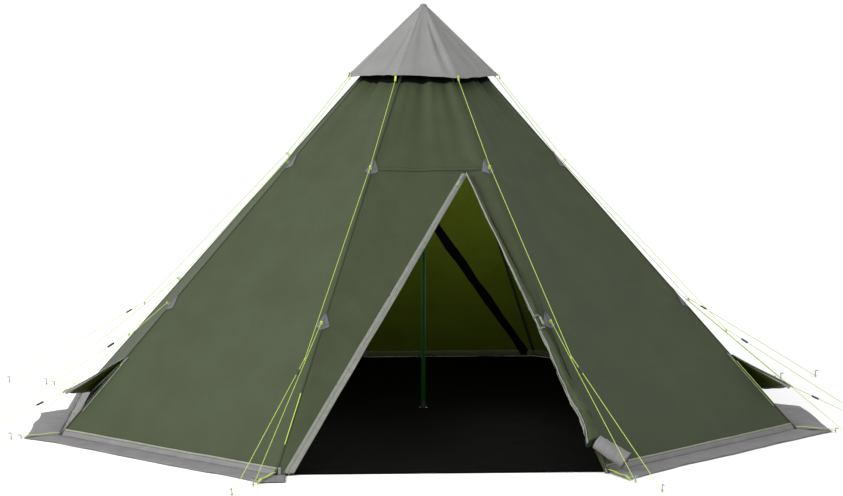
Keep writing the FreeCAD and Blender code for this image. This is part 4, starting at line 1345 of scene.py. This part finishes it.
sliderSize = {"door": (0.016, 0.007, 0.034), "doorPull": (0.006, 0.0025, 0.055),
              "vent": (0.011, 0.006, 0.024), "ventPull": (0.006, 0.0025, 0.036)}
for side, sideName, z, nodeBody in ((front, "front", door["apexZ"] - 0.035, "front_slider"),
                                    (back, "back", 0.095, "back_slider")):
    centre = onSide(side, zipU(z), z, 0.0030 + max(0.0, clothRelief(side, zipU(z), z)))
    direction = onSide(side, zipU(1.4), 1.4) - onSide(side, zipU(0.1), 0.1)
    makeSlider(sideName + "ZipSlider", sideName + "_zip_slider", nodeBody, centre, direction, outOfSide(side),
               sliderSize["door"], sliderSize["doorPull"], limeWebbing)

ventZip = {"inset": 0.021, "half": 0.010}
for side, sideName, edge in ((1, "right", 1), (7, "left", -1)):
    def zipAt(z, side=side, edge=edge):
        return onSide(side, edge * (halfWidth(z) - ventZip["inset"]), z, 0.0012)

    def ventWall(share, side=side, edge=edge):
        z = vent["footZ"] + (vent["topZ"] - vent["footZ"]) * share
        return clothRelief(side, edge * (halfWidth(z) - ventZip["inset"]), z)
    low, high = zipAt(vent["footZ"]), zipAt(vent["topZ"])
    zipSet(sideName + "VentZip", low, high, ventWall, outOfSide(side), ventZip["half"], "vent_zips", ventZipTape)
    pipingLine = [onSeam(side, seamRho(z) + 0.004, z) for z in (0.150, 0.190, 0.240, 0.290, 0.340, 0.395)]
    ventPiping = tubePiece(sideName + "VentPiping", pipingLine, 0.0030, limeWebbing)
    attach(ventPiping, "tent")
    centre = high + (low - high).normalized() * 0.022 + outOfSide(side) * 0.003
    makeSlider(sideName + "VentSlider", sideName + "_vent_slider", sideName + "_vent_slider_body", centre,
               high - low, outOfSide(side), sliderSize["vent"], sliderSize["ventPull"], limeWebbing)
print("zips made")


# Vent flaps: a triangle of wall cloth turned out on its fold, bound in grey along its free edges

flap = {"tipSag": 0.020, "bindingHalf": 0.011, "columns": 60, "rows": 44, "stripDeep": (0.005, 0.016)}
for side, sideName, mirror in ((right, "right", -1), (left, "left", 1)):
    foldTop = onSide(side, mirror * halfWidth(vent["topZ"]), vent["topZ"])
    foldHeel = onSide(side, mirror * (halfWidth(vent["footZ"]) - vent["reach"]), vent["footZ"])
    foldAxis = (foldHeel - foldTop).normalized() * mirror
    opened = Matrix.Rotation(math.radians(vent["open"]), 4, foldAxis)
    tip = opened @ (onSide(side, mirror * halfWidth(vent["footZ"]), vent["footZ"]) - foldTop) + foldTop
    flapOut = (opened.to_3x3() @ outOfSide(side)).normalized()
    body = sideName + "_vent"

    def flapPoint(s, t, lift=0.0, foldTop=foldTop, foldHeel=foldHeel, tip=tip, flapOut=flapOut, side=side):
        # s runs from the fold to the free edge, t from the top corner down to the heel and the tip
        foldSide = foldTop.lerp(foldHeel, t)
        freeSide = foldTop.lerp(tip, t)
        point = foldSide.lerp(freeSide, s)
        across = s * t
        droop = -flap["tipSag"] * math.sin(math.pi * s) * t * (0.7 + 0.5 * softNoise(t * 2.0, s * 2.0, side + 97))
        pleat = 0.007 * math.sin(s * 9.0 + 2.0 * t + side) * t * s * (1 - t) * 3.0
        pull = 0.006 * math.sin((1 - s) * 14.0 + 1.5 * t) * smoothStep(0.35, 1.0, t) * s * (1.15 - s)
        return point + flapOut * (droop + pleat + pull + lift), (across * 0.7, t * 0.43)

    def flapPlace(s, t, flapPoint=flapPoint, mirror=mirror):
        # columns run left to right as seen from outside, rows upwards
        return flapPoint(s if mirror > 0 else 1 - s, 1 - t)
    piece = gridSheet(sideName + "VentFlap", flap["columns"], flap["rows"], flapPlace, [outerCloth, innerCloth],
                      tent["clothThick"])
    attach(piece, body)
    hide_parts(sideName + "_vent_flap")
    freeEdge = [flapPoint(1.0, i / 40)[0] for i in range(2, 41)]
    lowEdge = [flapPoint(i / 40, 1.0)[0] for i in range(1, 41)]
    edgeParts = []
    for label, line, inward in (("Free", freeEdge, (foldHeel - tip)), ("Low", lowEdge, (foldTop - tip))):
        direction = (line[-1] - line[0]).normalized()
        across = (inward - direction * inward.dot(direction)).normalized()
        shifted = [p + across * flap["bindingHalf"] * 0.8 + flapOut * 0.0012 for p in line]
        edgeParts.append(ribbon(sideName + label, shifted, across, flapOut, flap["bindingHalf"], 0.0040,
                                bindingTape, 0.0006))
        edgeStitch = stepPiece(sideName + "Vent" + label + "Stitches",
                               [[p + across * flap["bindingHalf"] * 0.75 + flapOut * 0.0010 for p in shifted]],
                               stitchTree, {**stitch, "Material": greyThread})
        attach(edgeStitch, body)
    edging = joinPieces(sideName + "VentBinding", edgeParts)
    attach(edging, body)
    stripAcross = (foldHeel - tip).normalized()

    def stripPlace(s, t, freeEdge=freeEdge, flapOut=flapOut, stripAcross=stripAcross):
        # the edge's facing curls down from the free edge, deeper towards the tip
        k = min(len(freeEdge) - 1, int(round(t * (len(freeEdge) - 1))))
        deep = flap["stripDeep"][0] + flap["stripDeep"][1] * t ** 1.4
        down = -flapOut * deep * s + stripAcross * 0.006 * s * s
        return freeEdge[k] - stripAcross * 0.0012 + down, (s * deep, t * 0.43)
    strip = gridSheet(sideName + "VentStrip", 5, len(freeEdge) - 1, stripPlace, [bindingTape], 0.0010)
    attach(strip, body)
    # painted shadow: the flap's half of the zip coil is drawn in black cloth, standing for the shadow under the
    # bound free edge
    coilLine = [p - flapOut * 0.0034 for p in freeEdge]
    flapCoilShadow = stepPiece(sideName + "VentFlapCoilShadow", [coilLine], teethTree,
                         {"Pitch": 0.0042, "Length": 0.003, "Width": 0.0058, "Height": 0.0034, "Seed": 6,
                          "Material": stormAndShadeCloth})
    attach(flapCoilShadow, body)
    tabStart = tip - (tip - foldHeel).normalized() * 0.016
    tabEnd = tip + (tip - foldTop).normalized() * 0.008 + (tip - foldHeel).normalized() * 0.004
    tab = ribbon(sideName + "VentTab", [tabStart.lerp(tabEnd, i / 5) + flapOut * 0.0032 for i in range(6)],
                 foldAxis, flapOut, 0.006, 0.0016, limeWebbing)
    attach(tab, body)
print("vent flaps made")


# Door: rolled up along its hinge edge; the roll and its skirt follow one spiral rule

roll = {
    "topRadius": 0.010, "footRadius": 0.046, "footZ": 0.130, "clear": 0.006, "footShift": 0.012,
    "turns": 8.4, "innerShare": 0.22, "wrinkle": 0.34, "valley": 0.24, "wander": 1.5, "tiePinch": 0.24,
    "taper": 2.2, "edgeTape": 0.013, "edgeWander": 0.010,
    "skirtRadius": 0.052, "skirtReach": (0.115, 0.075), "skirtClear": 0.014,
}


def makeRollTree():
    # a grid, x along the roll and y round the spiral, wound on a tapering radius
    tree = bpy.data.node_groups.new("rolledCloth", "GeometryNodeTree")
    face = tree.interface
    for label in ("Start", "Axis", "Side", "Out"):
        face.new_socket(name=label, in_out="INPUT", socket_type="NodeSocketVector")
    for label in ("Top Radius", "Foot Radius", "Taper Power", "Inner Share", "Turns", "First Angle", "Wrinkle",
                  "Valley", "Wander", "Pinch Place", "Pinch"):
        face.new_socket(name=label, in_out="INPUT", socket_type="NodeSocketFloat")
    face.new_socket(name="Seed", in_out="INPUT", socket_type="NodeSocketFloat")
    for label in ("Along Count", "Round Count"):
        face.new_socket(name=label, in_out="INPUT", socket_type="NodeSocketInt")
    face.new_socket(name="Material", in_out="INPUT", socket_type="NodeSocketMaterial")
    face.new_socket(name="Geometry", in_out="OUTPUT", socket_type="NodeSocketGeometry")
    given = addNode(tree, "NodeGroupInput").outputs

    def math2(operation, a, b=0.0, c=0.0):
        return addNode(tree, "ShaderNodeMath", {"operation": operation}, {0: a, 1: b, 2: c}).outputs[0]

    def scaled(vector, amount):
        return addNode(tree, "ShaderNodeVectorMath", {"operation": "SCALE"},
                       {0: vector, "Scale": amount}).outputs[0]

    def summed(a, b):
        return addNode(tree, "ShaderNodeVectorMath", {"operation": "ADD"}, {0: a, 1: b}).outputs[0]

    flat = addNode(tree, "GeometryNodeMeshGrid", {}, {"Size X": 1.0, "Size Y": 1.0,
                                                      "Vertices X": given["Along Count"],
                                                      "Vertices Y": given["Round Count"]})
    place = addNode(tree, "ShaderNodeSeparateXYZ", {}, {0: addNode(tree, "GeometryNodeInputPosition").outputs[0]})
    along = math2("ADD", place.outputs[0], 0.5)
    around = math2("ADD", place.outputs[1], 0.5)
    taper = math2("MULTIPLY_ADD", math2("POWER", math2("MAXIMUM", along, 0.0), given["Taper Power"]),
                  math2("SUBTRACT", given["Foot Radius"], given["Top Radius"]), given["Top Radius"])
    off = math2("DIVIDE", math2("SUBTRACT", along, given["Pinch Place"]), 0.035)
    pinched = math2("SUBTRACT", 1.0, math2("MULTIPLY", given["Pinch"],
                                           math2("EXPONENT", math2("MULTIPLY", math2("MULTIPLY", off, off), -1.0))))
    share = math2("MULTIPLY_ADD", around, math2("SUBTRACT", 1.0, given["Inner Share"]), given["Inner Share"])
    angle = math2("MULTIPLY_ADD", math2("MULTIPLY", around, given["Turns"]), 2 * math.pi, given["First Angle"])
    # creases wind slowly round the roll: broad swells and a few sharp valleys
    twisted = math2("MULTIPLY_ADD", along, 3.0, angle)
    ripplePlace = addNode(tree, "ShaderNodeCombineXYZ", {},
                          {0: math2("MULTIPLY", along, 7.0), 1: math2("MULTIPLY", math2("COSINE", twisted), 1.1),
                           2: math2("MULTIPLY_ADD", math2("SINE", twisted), 1.1, given["Seed"])})
    valleyPlace = addNode(tree, "ShaderNodeVectorMath", {"operation": "MULTIPLY"},
                          {0: ripplePlace.outputs[0], 1: (1.3, 1.6, 1.6)})
    valleyNoise = addNode(tree, "ShaderNodeTexNoise", {},
                          {"Vector": valleyPlace.outputs[0], "Scale": 1.2, "Detail": 1.0}).outputs[0]
    nearMiddle = math2("ABSOLUTE", math2("SUBTRACT", valleyNoise, 0.5))
    valley = math2("MAXIMUM", math2("MULTIPLY_ADD", nearMiddle, -12.0, 1.0), 0.0)
    cut = math2("SUBTRACT", 1.0, math2("MULTIPLY", valley, given["Valley"]))
    ripple = addNode(tree, "ShaderNodeTexNoise", {},
                     {"Vector": ripplePlace.outputs[0], "Scale": 1.6, "Detail": 2.0}).outputs[0]
    wrinkled = math2("MULTIPLY_ADD", math2("SUBTRACT", ripple, 0.5), math2("MULTIPLY", given["Wrinkle"], 2.0), 1.0)
    radius = math2("MULTIPLY", math2("MULTIPLY", taper, pinched),
                   math2("MULTIPLY", share, math2("MULTIPLY", wrinkled, cut)))
    offset = summed(scaled(given["Side"], math2("MULTIPLY", radius, math2("COSINE", angle))),
                    scaled(given["Out"], math2("MULTIPLY", radius, math2("SINE", angle))))
    # the middle of the roll wanders a little, except where it is tied
    wanderPlace = addNode(tree, "ShaderNodeCombineXYZ", {}, {0: math2("MULTIPLY", along, 5.5), 1: given["Seed"]})
    wanderNoise = addNode(tree, "ShaderNodeTexNoise", {},
                          {"Vector": wanderPlace.outputs[0], "Scale": 1.5, "Detail": 1.0}).outputs["Color"]
    centred = addNode(tree, "ShaderNodeVectorMath", {"operation": "SUBTRACT"},
                      {0: wanderNoise, 1: (0.5, 0.5, 0.5)}).outputs[0]
    free = math2("SUBTRACT", 1.0, math2("DIVIDE", math2("SUBTRACT", 1.0, pinched),
                                        math2("MAXIMUM", given["Pinch"], 0.001)))
    wander = scaled(centred, math2("MULTIPLY", math2("MULTIPLY", taper, free), given["Wander"]))
    spot = summed(summed(summed(given["Start"], scaled(given["Axis"], along)), offset), wander)
    kept = addNode(tree, "GeometryNodeStoreNamedAttribute", {"data_type": "FLOAT2", "domain": "CORNER"},
                   {"Geometry": flat.outputs["Mesh"], "Name": "UVMap", "Value": flat.outputs["UV Map"]})
    wound = addNode(tree, "GeometryNodeSetPosition", {}, {"Geometry": kept.outputs[0], "Position": spot})
    smooth = addNode(tree, "GeometryNodeSetShadeSmooth", {}, {"Geometry": wound.outputs[0]})
    real = addNode(tree, "GeometryNodeRealizeInstances", {}, {0: smooth.outputs[0]})
    painted = addNode(tree, "GeometryNodeSetMaterial", {},
                      {"Geometry": real.outputs[0], "Material": given["Material"]})
    addNode(tree, "NodeGroupOutput", {}, {0: painted.outputs[0]})
    return tree


rollTree = makeRollTree()


def rolledPiece(name, values):
    source = linkPiece(name + "Source", bpy.data.meshes.new(name + "Source"))
    modifier = source.modifiers.new("roll", "NODES")
    modifier.node_group = rollTree
    setTreeInputs(modifier, rollTree, values)
    return settle(source, name)


rollTopZ = door["apexZ"] - 0.020
rollTop = onSide(front, hingeU(rollTopZ), rollTopZ, roll["topRadius"] + roll["clear"])
rollFoot = onSide(front, hingeU(roll["footZ"]) + roll["footShift"], roll["footZ"],
                  roll["footRadius"] + roll["clear"])
rollAxis = rollFoot - rollTop
rollSide = rollAxis.cross(outOfSide(front)).normalized()
rollOut = rollSide.cross(rollAxis).normalized()
tieShare = (rollTopZ - door["tieZ"]) / (rollTopZ - roll["footZ"])
rollCounts = {"Along Count": 150, "Round Count": 210}
doorRoll = rolledPiece("doorRoll", {
    "Start": rollTop, "Axis": rollAxis, "Side": rollSide, "Out": rollOut, "Top Radius": roll["topRadius"],
    "Foot Radius": roll["footRadius"], "Inner Share": roll["innerShare"], "Turns": roll["turns"],
    "Taper Power": roll["taper"], "First Angle": -1.9, "Wrinkle": roll["wrinkle"], "Valley": roll["valley"],
    "Wander": roll["wander"],
    "Pinch Place": tieShare + 0.022, "Pinch": roll["tiePinch"], "Seed": 4.0, **rollCounts, "Material": outerCloth})
rows, rounds = rollCounts["Along Count"], rollCounts["Round Count"]
turnRows = [[doorRoll.data.vertices[i * rounds + k].co.copy() for k in range(rounds)] for i in range(rows)]
outerEdge = [turn[-1] for turn in turnRows]
piping = tubePiece("doorPiping", outerEdge[::3] + [outerEdge[-1]], 0.0028, bindingTape)


def edgeTapePlace(s, t):
    # the tape of the door's zip follows the outermost turn back from its edge
    turn = turnRows[min(rows - 1, int(round(t * (rows - 1))))]
    middle = rollTop + rollAxis * t
    spent, k = 0.0, rounds - 1
    wander = roll["edgeWander"] * (0.5 + 0.5 * softNoise(t * 9.0, 4.0, 95)) * smoothStep(0.35, 0.8, t)
    while k > 1 and spent < wander + roll["edgeTape"] * s:
        spent += (turn[k] - turn[k - 1]).length
        k -= 1
    point = turn[k]
    return point + (point - middle).normalized() * 0.0014, (s * roll["edgeTape"], t * rollAxis.length)


edgeTape = gridSheet("doorEdgeTape", 6, rows - 1, edgeTapePlace, [zipTape], 0.0008)
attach(edgeTape, "tent")
addThickness(doorRoll, 0.0008)
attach(doorRoll, "tent")
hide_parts("door_roll")

bundleStart = rollFoot + Vector((0.006, -0.004, -0.004))
bundleEnd = Vector((door["footRight"] + roll["skirtReach"][0], rollFoot.y - roll["skirtReach"][1],
                    roll["skirtRadius"] + roll["skirtClear"]))
bundleAxis = bundleEnd - bundleStart
bundleSide = bundleAxis.cross(up).normalized()
bundleOut = bundleSide.cross(bundleAxis).normalized()
skirtRoll = rolledPiece("doorSkirtRoll", {
    "Start": bundleStart, "Axis": bundleAxis, "Side": bundleSide, "Out": bundleOut,
    "Top Radius": roll["footRadius"] - 0.004, "Foot Radius": roll["skirtRadius"], "Taper Power": 1.0,
    "Inner Share": 0.16, "Turns": 4.2, "First Angle": 1.2, "Wrinkle": 0.12, "Valley": 0.05, "Wander": 0.1,
    "Pinch Place": 2.0, "Pinch": 0.0, "Seed": 9.0,
    "Along Count": 26, "Round Count": 140, "Material": skirtCloth})
addThickness(skirtRoll, 0.0010)
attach(skirtRoll, "tent")
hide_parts("door_roll")
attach(piping, "tent")
print("door roll made", round(leafArea, 3), "square metres of cloth")


# Two cloth ties round the roll, held by one toggle

tie = {"width": 0.012, "thick": 0.0014, "spacing": 0.045, "tight": 0.90, "toggle": (0.056, 0.012, 0.010)}
tieParts = []
axis = rollAxis.normalized()
for shift in (0.0, tie["spacing"]):
    share = tieShare + shift
    centre = rollTop + rollAxis * share
    taperShare = share ** roll["taper"]
    radius = (roll["topRadius"] + (roll["footRadius"] - roll["topRadius"]) * taperShare) * tie["tight"] + 0.0022
    loop = [centre + (rollSide * math.cos(a) + rollOut * math.sin(a)) * radius
            for a in (2 * math.pi * i / 48 for i in range(49))]

    def tiePlace(s, t, loop=loop, axis=axis, centre=centre):
        point = loop[int(round(t * 48)) % 48]
        swell = (point - centre).normalized() * 0.0006 * math.sin(math.pi * s)
        return point + axis * (s - 0.5) * tie["width"] + swell, (s * tie["width"], t * 0.12)
    tieParts.append(settle(gridSheet("tie" + str(shift), 4, 48, tiePlace, [tieTape], tie["thick"]), "tiePart"))
ties = joinPieces("doorTies", tieParts)
toggleOut = (rollOut - rollSide * 0.5).normalized()
toggles = bevelBox("doorToggle", tie["toggle"], 0.004, togglePlastic, 3)
placeAlong(toggles, rollTop + rollAxis * (tieShare + tie["spacing"] / 2) + toggleOut * (radius + 0.006), axis,
           toggleOut)
for piece in (ties, toggles):
    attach(piece, "tent")
    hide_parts("door_ties")
print("door ties made")


# Guy points: a sewn patch on each side of the seam and a lime webbing loop that stands off it

guyPoint = {
    "patchUp": 0.056, "patchDown": 0.030, "patchOut": 0.038, "upperStand": 0.028, "lowerStand": 0.024,
    "webHalf": 0.006, "webThick": 0.0014, "strapHalf": 0.007,
}
patchParts, patchStitches, loopParts = [], [], []
for guyZ, standoff in ((cloth["guyHeights"][0], guyPoint["upperStand"]),
                       (cloth["guyHeights"][1], guyPoint["lowerStand"])):
    for side in range(8):
        for edge in (-1, 1):
            top, foot = guyZ + guyPoint["patchUp"], guyZ - guyPoint["patchDown"]
            peak = (edge * (halfWidth(top) - 0.0012), top)
            base = (edge * (halfWidth(foot) - 0.0012), foot)
            wing = (edge * (halfWidth(guyZ) - guyPoint["patchOut"]), guyZ - guyPoint["patchDown"] / 2)

            def patchSpot(s, t, peak=peak, base=base, wing=wing, side=side):
                # t runs from the wing to the seam edge, s along the seam
                u = wing[0] + (peak[0] + (base[0] - peak[0]) * s - wing[0]) * t
                z = wing[1] + (peak[1] + (base[1] - peak[1]) * s - wing[1]) * t
                return u, z

            def patchPlace(s, t, side=side, edge=edge, patchSpot=patchSpot):
                u, z = patchSpot(s if edge < 0 else 1 - s, 0.02 + 0.98 * t)
                lift = 0.0022 + 0.0005 * softNoise(u * 30, z * 30, side)
                return onSide(side, u, z, clothRelief(side, u, z) + lift), (u, z * slantRatio)
            patch = gridSheet("patchPart", 10, 10, patchPlace, [patchCloth], 0.0014)
            patchParts.append(rightWayOut(settle(patch, "patchPart")))
            middle = ((peak[0] + base[0] + wing[0]) / 3, (peak[1] + base[1] + wing[1]) / 3)
            ring = []
            for first, second in ((peak, base), (base, wing), (wing, peak)):
                for i in range(8):
                    u = first[0] + (second[0] - first[0]) * i / 8
                    z = first[1] + (second[1] - first[1]) * i / 8
                    u, z = middle[0] + (u - middle[0]) * 0.84, middle[1] + (z - middle[1]) * 0.84
                    ring.append(onSide(side, u, z, clothRelief(side, u, z) + 0.0028))
            patchStitches.append(ring + ring[:1])
    for seam in range(8):
        seamOut = (outOfSide(seam) + outOfSide((seam + 1) % 8)).normalized()
        sideways = onSeam(seam, 0, 0, 1.0).normalized()
        downSeam = (onSeam(seam, seamRho(guyZ - 0.1), guyZ - 0.1) - onSeam(seam, seamRho(guyZ), guyZ)).normalized()
        root = onSeam(seam, seamRho(guyZ), guyZ)
        # the webbing leaves the seam, goes round the line and comes back
        outline = [(0.0035, -0.0055), (0.008, -0.0048), (standoff - 0.007, -0.0040), (standoff - 0.001, -0.0038),
                   (standoff + 0.0026, -0.0016), (standoff + 0.0034, 0.0005), (standoff + 0.0026, 0.0024),
                   (standoff - 0.001, 0.0040), (standoff - 0.007, 0.0042), (0.008, 0.0048), (0.0035, 0.0055)]
        line = [root + seamOut * out + downSeam * low for out, low in outline]

        def loopPlace(s, t, line=line, sideways=sideways):
            return line[int(round(t * (len(line) - 1)))] + sideways * (s - 0.5) * 2 * guyPoint["webHalf"], \
                (s * 0.012, t * 0.07)
        loopParts.append(rightWayOut(settle(gridSheet("loopPart", 3, len(line) - 1, loopPlace, [limeWebbing],
                                                      guyPoint["webThick"]), "loopPart")))
patches = joinPieces("guyPatches", patchParts)
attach(patches, "tent")
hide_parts("guy_patches")
stitchPiece("patchStitches", patchStitches, greyThread)

for seam in range(8):
    sideways = onSeam(seam, 0, 0, 1.0).normalized()
    reachOut = cornerRadius - 0.004, guyLine["hemPeg"] + 0.006
    strapLine = []
    for i in range(24):
        share = i / 23
        rho = reachOut[0] + (reachOut[1] - reachOut[0]) * share
        strapLine.append(onSeam(seam, rho, 0.0215 - 0.0135 * smoothStep(0.75, 1.0, share)
                                + 0.002 * math.sin(9 * share)))
    loopParts.append(rightWayOut(ribbon("strapPart", strapLine, sideways, up, guyPoint["strapHalf"], 0.0014,
                                        limeWebbing)))
    tabLine = [onSeam(seam, 0.4870 + 0.0012 * i, 2.081 - 0.0052 * i) for i in range(7)]
    loopParts.append(rightWayOut(ribbon("capTab", tabLine, sideways, onSeam(seam, 1, 0).normalized(), 0.006, 0.0016,
                                        limeWebbing)))
loops = joinPieces("guyWebbing", loopParts)
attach(loops, "tent")
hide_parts("guy_loops")
print("guy points made")


# Runners: a moulded bar with three holes on every line

runner = {"length": 0.046, "width": 0.016, "thick": 0.009, "below": 0.130, "ventBelow": 0.150}


def makeRunner(name, node, body, centre, direction):
    plate = roundPlate(name, runner["length"], runner["width"], runner["thick"],
                       [(-0.014, 0.0034, 0.0030), (0.0, 0.0030, 0.0030), (0.014, 0.0034, 0.0030)], 0.0014,
                       runnerPlastic)
    placeAlong(plate, centre, direction, up)
    plate.data.polygons.foreach_set("use_smooth", [False] * len(plate.data.polygons))
    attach(plate, body)
    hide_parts(node)
    return plate


for seam, seamName in enumerate(seamNames):
    join, end = (onSeam(seam, rho, z) for rho, z in (guyLine["upperRoute"][6], guyLine["upperRoute"][-1]))
    direction = (end - join).normalized()
    makeRunner("runner" + seamName, "runner_" + nodeNames[seam], nodeNames[seam] + "_line_runner",
               join + direction * runner["below"], direction)
for sideName, mirror in (("right", 1), ("left", -1)):
    start, end = (Vector((x * mirror, y, z)) for x, y, z in (guyLine["ventRoute"][0], guyLine["ventRoute"][-1]))
    direction = (end - start).normalized()
    makeRunner("ventRunner" + sideName.capitalize(), "vent_runner_" + sideName, sideName + "_vent_line_runner",
               start + direction * runner["ventBelow"], direction)


# Pegs: bent rod with the hook away from the tent, shown down to the ground

peg = {"radius": 0.0035, "height": 0.042, "hemHeight": 0.026, "hook": 0.020}
pegPlaces = []
for seam in range(8):
    for rho, height in ((guyLine["farPeg"], peg["height"]), (guyLine["nearPeg"], peg["height"]),
                        (guyLine["hemPeg"], peg["hemHeight"])):
        pegPlaces.append((seamAngle(seam), rho, height))
for mirror in (1, -1):
    x, y = guyLine["ventPeg"][0] * mirror, guyLine["ventPeg"][1]
    pegPlaces.append((math.atan2(y, x), math.hypot(x, y), peg["height"]))
pegParts = []
for angle, rho, height in pegPlaces:
    outline = [(0, 0.0005), (0, height * 0.4), (0, height - 0.009), (0, height - 0.001), (0.0015, height),
               (0.009, height), (peg["hook"] - 0.002, height - 0.0005), (peg["hook"], height - 0.001)]
    rod = [turnZ((rho + out, 0, z), angle) for out, z in outline]
    pegParts.append(tubePiece("pegPart", rod, peg["radius"], pegSteel))
pegs = joinPieces("steelPegs", pegParts)
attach(pegs, "tent")
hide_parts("pegs")
print("runners and pegs made")


# Pole: the frame's own tubes and end caps, enamelled and moulded

for node, material in (("pole_lower", poleEnamel), ("pole_middle", poleEnamel), ("pole_upper", poleEnamel),
                       ("pole_end_caps", polePlastic)):
    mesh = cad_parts[node].data
    mesh.materials.clear()
    mesh.materials.append(material)


# Floor and light

studio = {
    "floorColour": "#ffffff", "worldStrength": 1.04,
    "keyPlace": (-7.8, -6.0, 6.0), "keySize": 6.0, "keyPower": 860.0,
    "insidePlaces": ((-0.60, -0.10, 0.80), (0.55, 0.20, 0.70)), "insidePower": 12.0, "insideSize": 0.45,
}
floorMesh = bpy.data.meshes.new("studioFloor")
floorMesh.from_pydata([(-60, -60, -0.0006), (60, -60, -0.0006), (60, 60, -0.0006), (-60, 60, -0.0006)], [],
                      [(0, 1, 2, 3)])
floor = linkPiece("studioFloor", floorMesh)
floorMaterial = bpy.data.materials.new("paleStudioFloor")
floorMaterial.use_nodes = True
floorShader = floorMaterial.node_tree.nodes["Principled BSDF"]
floorShader.inputs["Base Color"].default_value = linearColour(studio["floorColour"])
floorShader.inputs["Roughness"].default_value = 0.9
floorShader.inputs["Specular IOR Level"].default_value = 0.1
floorMesh.materials.append(floorMaterial)
floor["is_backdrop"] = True

world = bpy.data.worlds.new("softStudio")
bpy.context.scene.world = world
world.use_nodes = True
world.node_tree.nodes["Background"].inputs["Color"].default_value = (1.0, 1.0, 1.0, 1.0)
world.node_tree.nodes["Background"].inputs["Strength"].default_value = studio["worldStrength"]


def areaLight(name, place, size, power, aim=(0, 0, 0.8)):
    data = bpy.data.lights.new(name, "AREA")
    data.shape = "SQUARE"
    data.size = size
    data.energy = power
    lamp = bpy.data.objects.new(name, data)
    bpy.context.scene.collection.objects.link(lamp)
    lamp.location = place
    lamp.rotation_euler = (Vector(aim) - Vector(place)).to_track_quat("-Z", "Y").to_euler()


areaLight("keyLight", studio["keyPlace"], studio["keySize"], studio["keyPower"])
# daylight that the thin cloth lets through to its inner face
glow = bpy.data.lights.new("insideGlow", "POINT")
glow.energy = studio["insidePower"]
glow.shadow_soft_size = studio["insideSize"]
for place in studio["insidePlaces"]:
    glowLamp = bpy.data.objects.new("insideGlow", glow)
    bpy.context.scene.collection.objects.link(glowLamp)
    glowLamp.location = place
bpy.context.scene.view_settings.view_transform = "Standard"
print("floor and lights made")

low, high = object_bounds()
